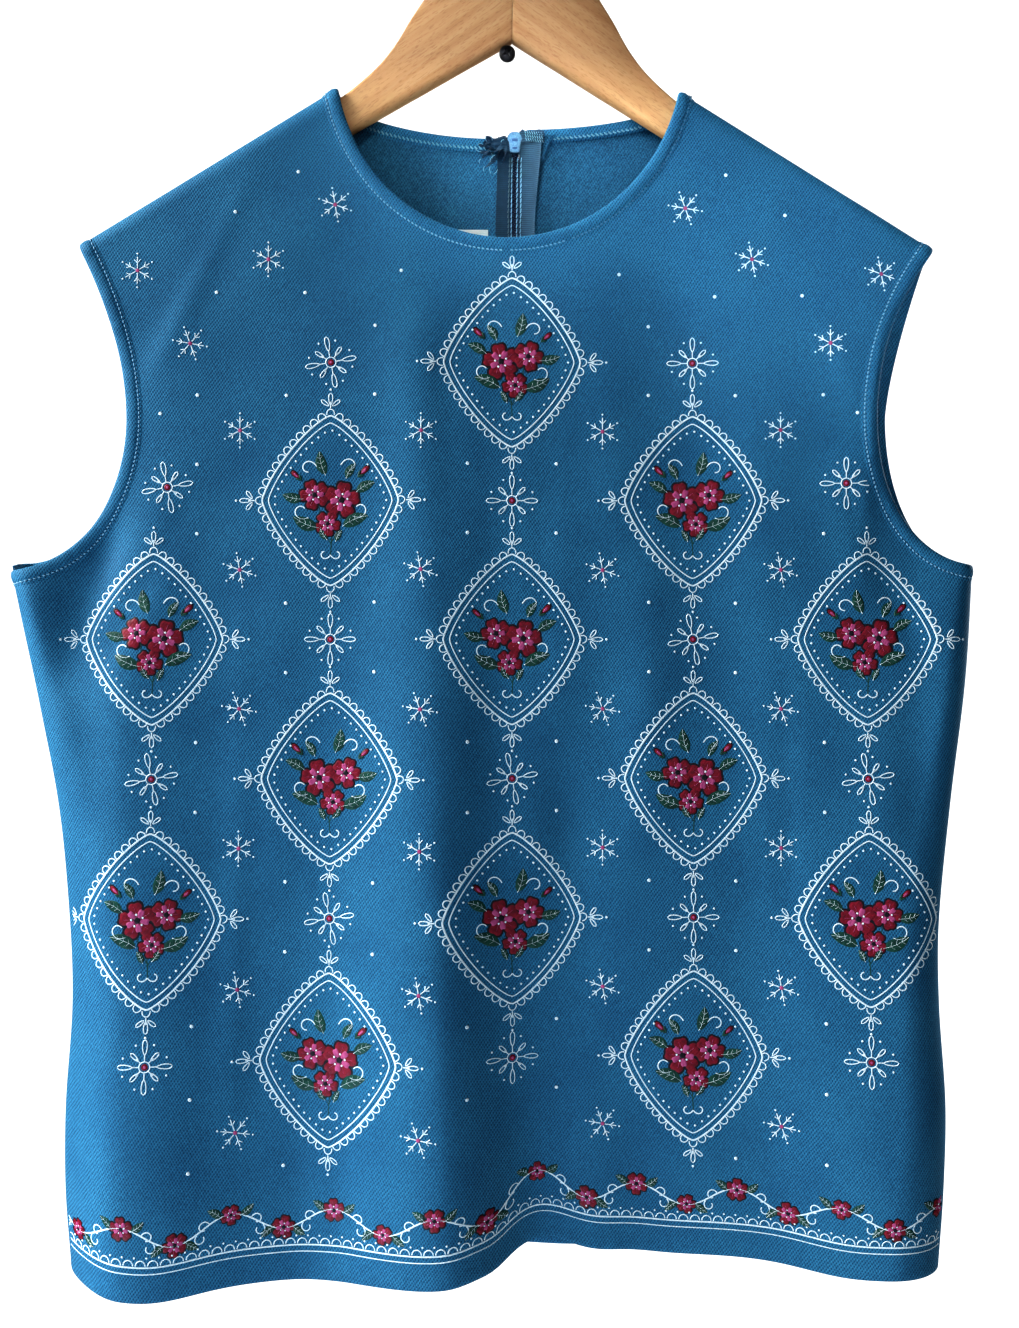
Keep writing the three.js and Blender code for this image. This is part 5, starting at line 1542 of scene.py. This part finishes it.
def printed_shapes():
    shapes = []
    for k, (x, z) in enumerate(LOZENGES):
        shapes += placed(lozenge(), x, z)
        shapes += placed(posy(), x, z - 1, 0, 0.92, k % 2 == 1)
    for k, (x, z) in enumerate(STARS):
        shapes += placed(star(14), x, z, 11 * (k % 2))
    shapes += [dot(x, z, 1.0) for x, z in DOTS if in_the_open(x, z)]
    for k, (x, z) in enumerate(SMALL_STARS):
        shapes += placed(small_star(), x, z, 10 * (k % 3))
    for shape in vine():
        x, z = shape["path"].T
        shapes.append(dict(shape, path=pack(x, z + (hem_z("front", x) + VINE["above_hem"]))))
    return shapes


PRINT_MARGIN = 9.5  # from a turned edge


def distance_to(points, path):
    """Distance of each plan point to a path, given as points close together."""
    nearest = np.full(len(points), np.inf)
    for at in path:
        nearest = np.minimum(nearest, ((points - at) ** 2).sum(1))
    return np.sqrt(nearest)


def printable(points):
    """True where a plan point lies on the front, clear of its seams and turned edges."""
    x, z = points.T
    level = np.minimum(z, UNDERARM_Z)
    on_cloth = (x > side_x("left", level) + 4) & (x < side_x("right", level) - 4)
    on_cloth &= (z > hem_z("front", x) + 12) & (z < -40)
    for side in SIDES:
        hole = resample(armhole_path("front", side), 3)
        edge = np.interp(z, hole[:, 1], hole[:, 0])
        beyond = z > ARMHOLES["front", side]["under"][1] - 6
        beyond &= SIGN[side] * (x - edge) > -PRINT_MARGIN
        on_cloth &= ~beyond & (distance_to(points, hole) > PRINT_MARGIN)
    neck = resample(front_neck_path(), 3)
    inside_neck = (z > np.interp(x, neck[:, 0], neck[:, 1]) - PRINT_MARGIN) & (np.abs(x) < 105)
    return on_cloth & ~inside_neck & (distance_to(points, neck) > PRINT_MARGIN)


def shape_mesh(shape):
    """Points (x, z, lift) and faces: a ribbon along a line, or rings that fill an outline."""
    path, width, lift = shape["path"], shape["width"], shape["lift"]
    if width:
        path = resample(path, 1.2)
        across = np.array([-0.5, 0, 0.5])[:, None] * width
        plan = path[:, None] + normals_of(path, 1)[:, None] * across
        lifts = (PRINT_EDGE, lift, PRINT_EDGE)
        return pack(plan[..., 0], plan[..., 1], lifts).reshape(-1, 3), [grid_quads(len(path), 3)]
    count, middle = len(path), path.mean(0)
    plan = np.concatenate([*(middle + (path - middle) * size for size in (1.0, 0.84, 0.45)), [middle]])
    lifts = np.repeat([PRINT_EDGE, lift], [count, 2 * count + 1])
    last = 2 * count + np.arange(count)
    triangles = np.stack([last, np.roll(last, -1), np.full(count, 3 * count)], 1)
    return pack(*plan.T, lifts), [grid_quads(3, count, ring=True), triangles]


def ink_piece(ink, shapes):
    """One ink's mesh: lines are cut where they leave the cloth; fills are left out whole there."""
    parts = [shape_mesh(shape) for shape in shapes]
    points, faces = joined(parts)
    sizes = [len(part_points) for part_points, _ in parts]
    number = np.repeat(np.arange(len(parts)), sizes)
    whole = np.repeat([not shape["width"] for shape in shapes], sizes)
    keep = printable(points[:, :2])
    keep &= ~np.isin(number, number[~keep & whole])
    faces = [face[keep[face].all(1)] for face in faces]
    used = np.unique(np.concatenate([face.ravel() for face in faces]))
    index = np.zeros(len(points), int)
    index[used] = np.arange(len(used))
    x, z, lift = points[used].T
    skin = cloth_point("front", x, z, FACE + lift)
    faces = [turned_out(skin, index[face]) for face in faces if len(face)]
    return make(f"print_{ink}", skin, faces, INK[ink], closed=False, sharp=80)


def turned_out(points, faces):
    """Faces of the front's print, each turned to face forwards."""
    a, b, c = (points[faces[:, k]] for k in range(3))
    back = np.cross(b - a, c - a)[:, 1] > 0
    return np.where(back[:, None], faces[:, ::-1], faces)


def printed_pattern():
    """Every ink as one thin piece that lies on the front panel."""
    shapes = printed_shapes()
    return [ink_piece(ink, [shape for shape in shapes if shape["ink"] == ink]) for ink in INK]


# ---- building ------------------------------------------------------------------------------
hems = edges()
overlocked_seams()
front = front_panel()
backs = {side: back_panel(side) for side in SIDES}
prints = printed_pattern()
zip_pieces()
label()
for side in SIDES:
    hanger_arm(side)
hook()
wall_screw()


# ---- floor, light and camera ---------------------------------------------------------------
FLOOR = {"radius": 1200, "top": -1370, "thickness": 10}
AMBIENT = 0.035
SKY = (0.9, 0.95, 1.0)
WARM, COOL, BLUE = (1, 0.99, 0.97), (0.97, 0.98, 1), (0.62, 0.82, 1)
TARGET = (0, 0, -0.34)
# Lamps: place and target in m, side in m, power in W, how far the light fans out, and colour.
LAMPS = [
    ("key", (-1.7, -0.37, 0.66), TARGET, 0.7, 70, 180, WARM),
    ("fill", (0.65, -2.42, -0.1), TARGET, 1.6, 9, 180, COOL),
    ("low", (-0.5, -0.62, -1.02), TARGET, 0.5, 4, 180, BLUE),
    ("neck", (-0.3, -1.1, 0.34), (0.0, 0, -0.05), 0.07, 0.043, 10, (1, 0.99, 0.96)),
    ("shoulder", (0.3, -1.1, 0.3), (0.15, 0, -0.11), 0.1, 0.04, 13, COOL),
    ("back_key", (1.6, 1.4, 0.5), TARGET, 1.2, 44, 180, WARM),
    ("back_fill", (-0.9, 2.2, 0.1), TARGET, 1.6, 10, 180, COOL),
]
# The camera looks straight ahead, level with the blouse's middle. Its picture is `seen` high, in
# mm, at the middle of the hanger's thickness.
CAMERA = {"x": -1.375, "distance": 700, "z": -341.3, "seen": 730.4, "sensor": 36}


def studio():
    paper = Shader("studio_paper", Specular_IOR_Level=0.1, Roughness=0.95)
    mottle = paper.noise(paper.place, 6)
    paper.colour(paper.ramp(mottle, (0.3, (238, 238, 238)), (0.7, (244, 244, 244))))
    turn, top = circle(96), FLOOR["top"]
    x, z = FLOOR["radius"] * np.cos(turn), FLOOR["radius"] * np.sin(turn)
    disc = tube(np.array([pack(x, z, level) for level in (top - FLOOR["thickness"], top)]))
    linked("studio_floor", mesh_of("studio_floor", *disc, paper.material))

    world = bpy.data.worlds.new("studio")
    bpy.context.scene.world = world
    world.use_nodes = True
    nodes, links = world.node_tree.nodes, world.node_tree.links
    seen, glow = nodes["Background"], nodes.new("ShaderNodeBackground")
    seen.inputs["Color"].default_value = (1, 1, 1, 1)
    glow.inputs["Color"].default_value = (*SKY, 1)
    glow.inputs["Strength"].default_value = AMBIENT
    rays, choose = nodes.new("ShaderNodeLightPath"), nodes.new("ShaderNodeMixShader")
    links.new(rays.outputs["Is Camera Ray"], choose.inputs[0])
    links.new(glow.outputs[0], choose.inputs[1])
    links.new(seen.outputs[0], choose.inputs[2])
    links.new(choose.outputs[0], nodes["World Output"].inputs["Surface"])


def lamps():
    for name, place, target, size, watts, fan, colour in LAMPS:
        light = bpy.data.lights.new(name, "AREA")
        light.energy, light.size, light.color, light.spread = watts, size, colour, math.radians(fan)
        piece = linked(name, light)
        piece.location = place
        piece.rotation_euler = (Vector(place) - Vector(target)).to_track_quat("Z", "Y").to_euler()


def camera():
    view = bpy.data.cameras.new("photo_camera")
    view.sensor_width = CAMERA["sensor"]
    view.lens = CAMERA["sensor"] * CAMERA["distance"] / CAMERA["seen"]
    view.clip_start, view.clip_end = 0.02, 20
    piece = linked("photo_camera", view)
    piece.location = (CAMERA["x"] * MM, -CAMERA["distance"] * MM, CAMERA["z"] * MM)
    piece.rotation_euler = (math.pi / 2, 0, 0)
    bpy.context.scene.camera = piece


studio()
lamps()
camera()
bpy.context.scene.view_settings.view_transform = "Standard"
bpy.context.scene.view_settings.look = "High Contrast"
bpy.context.view_layer.update()
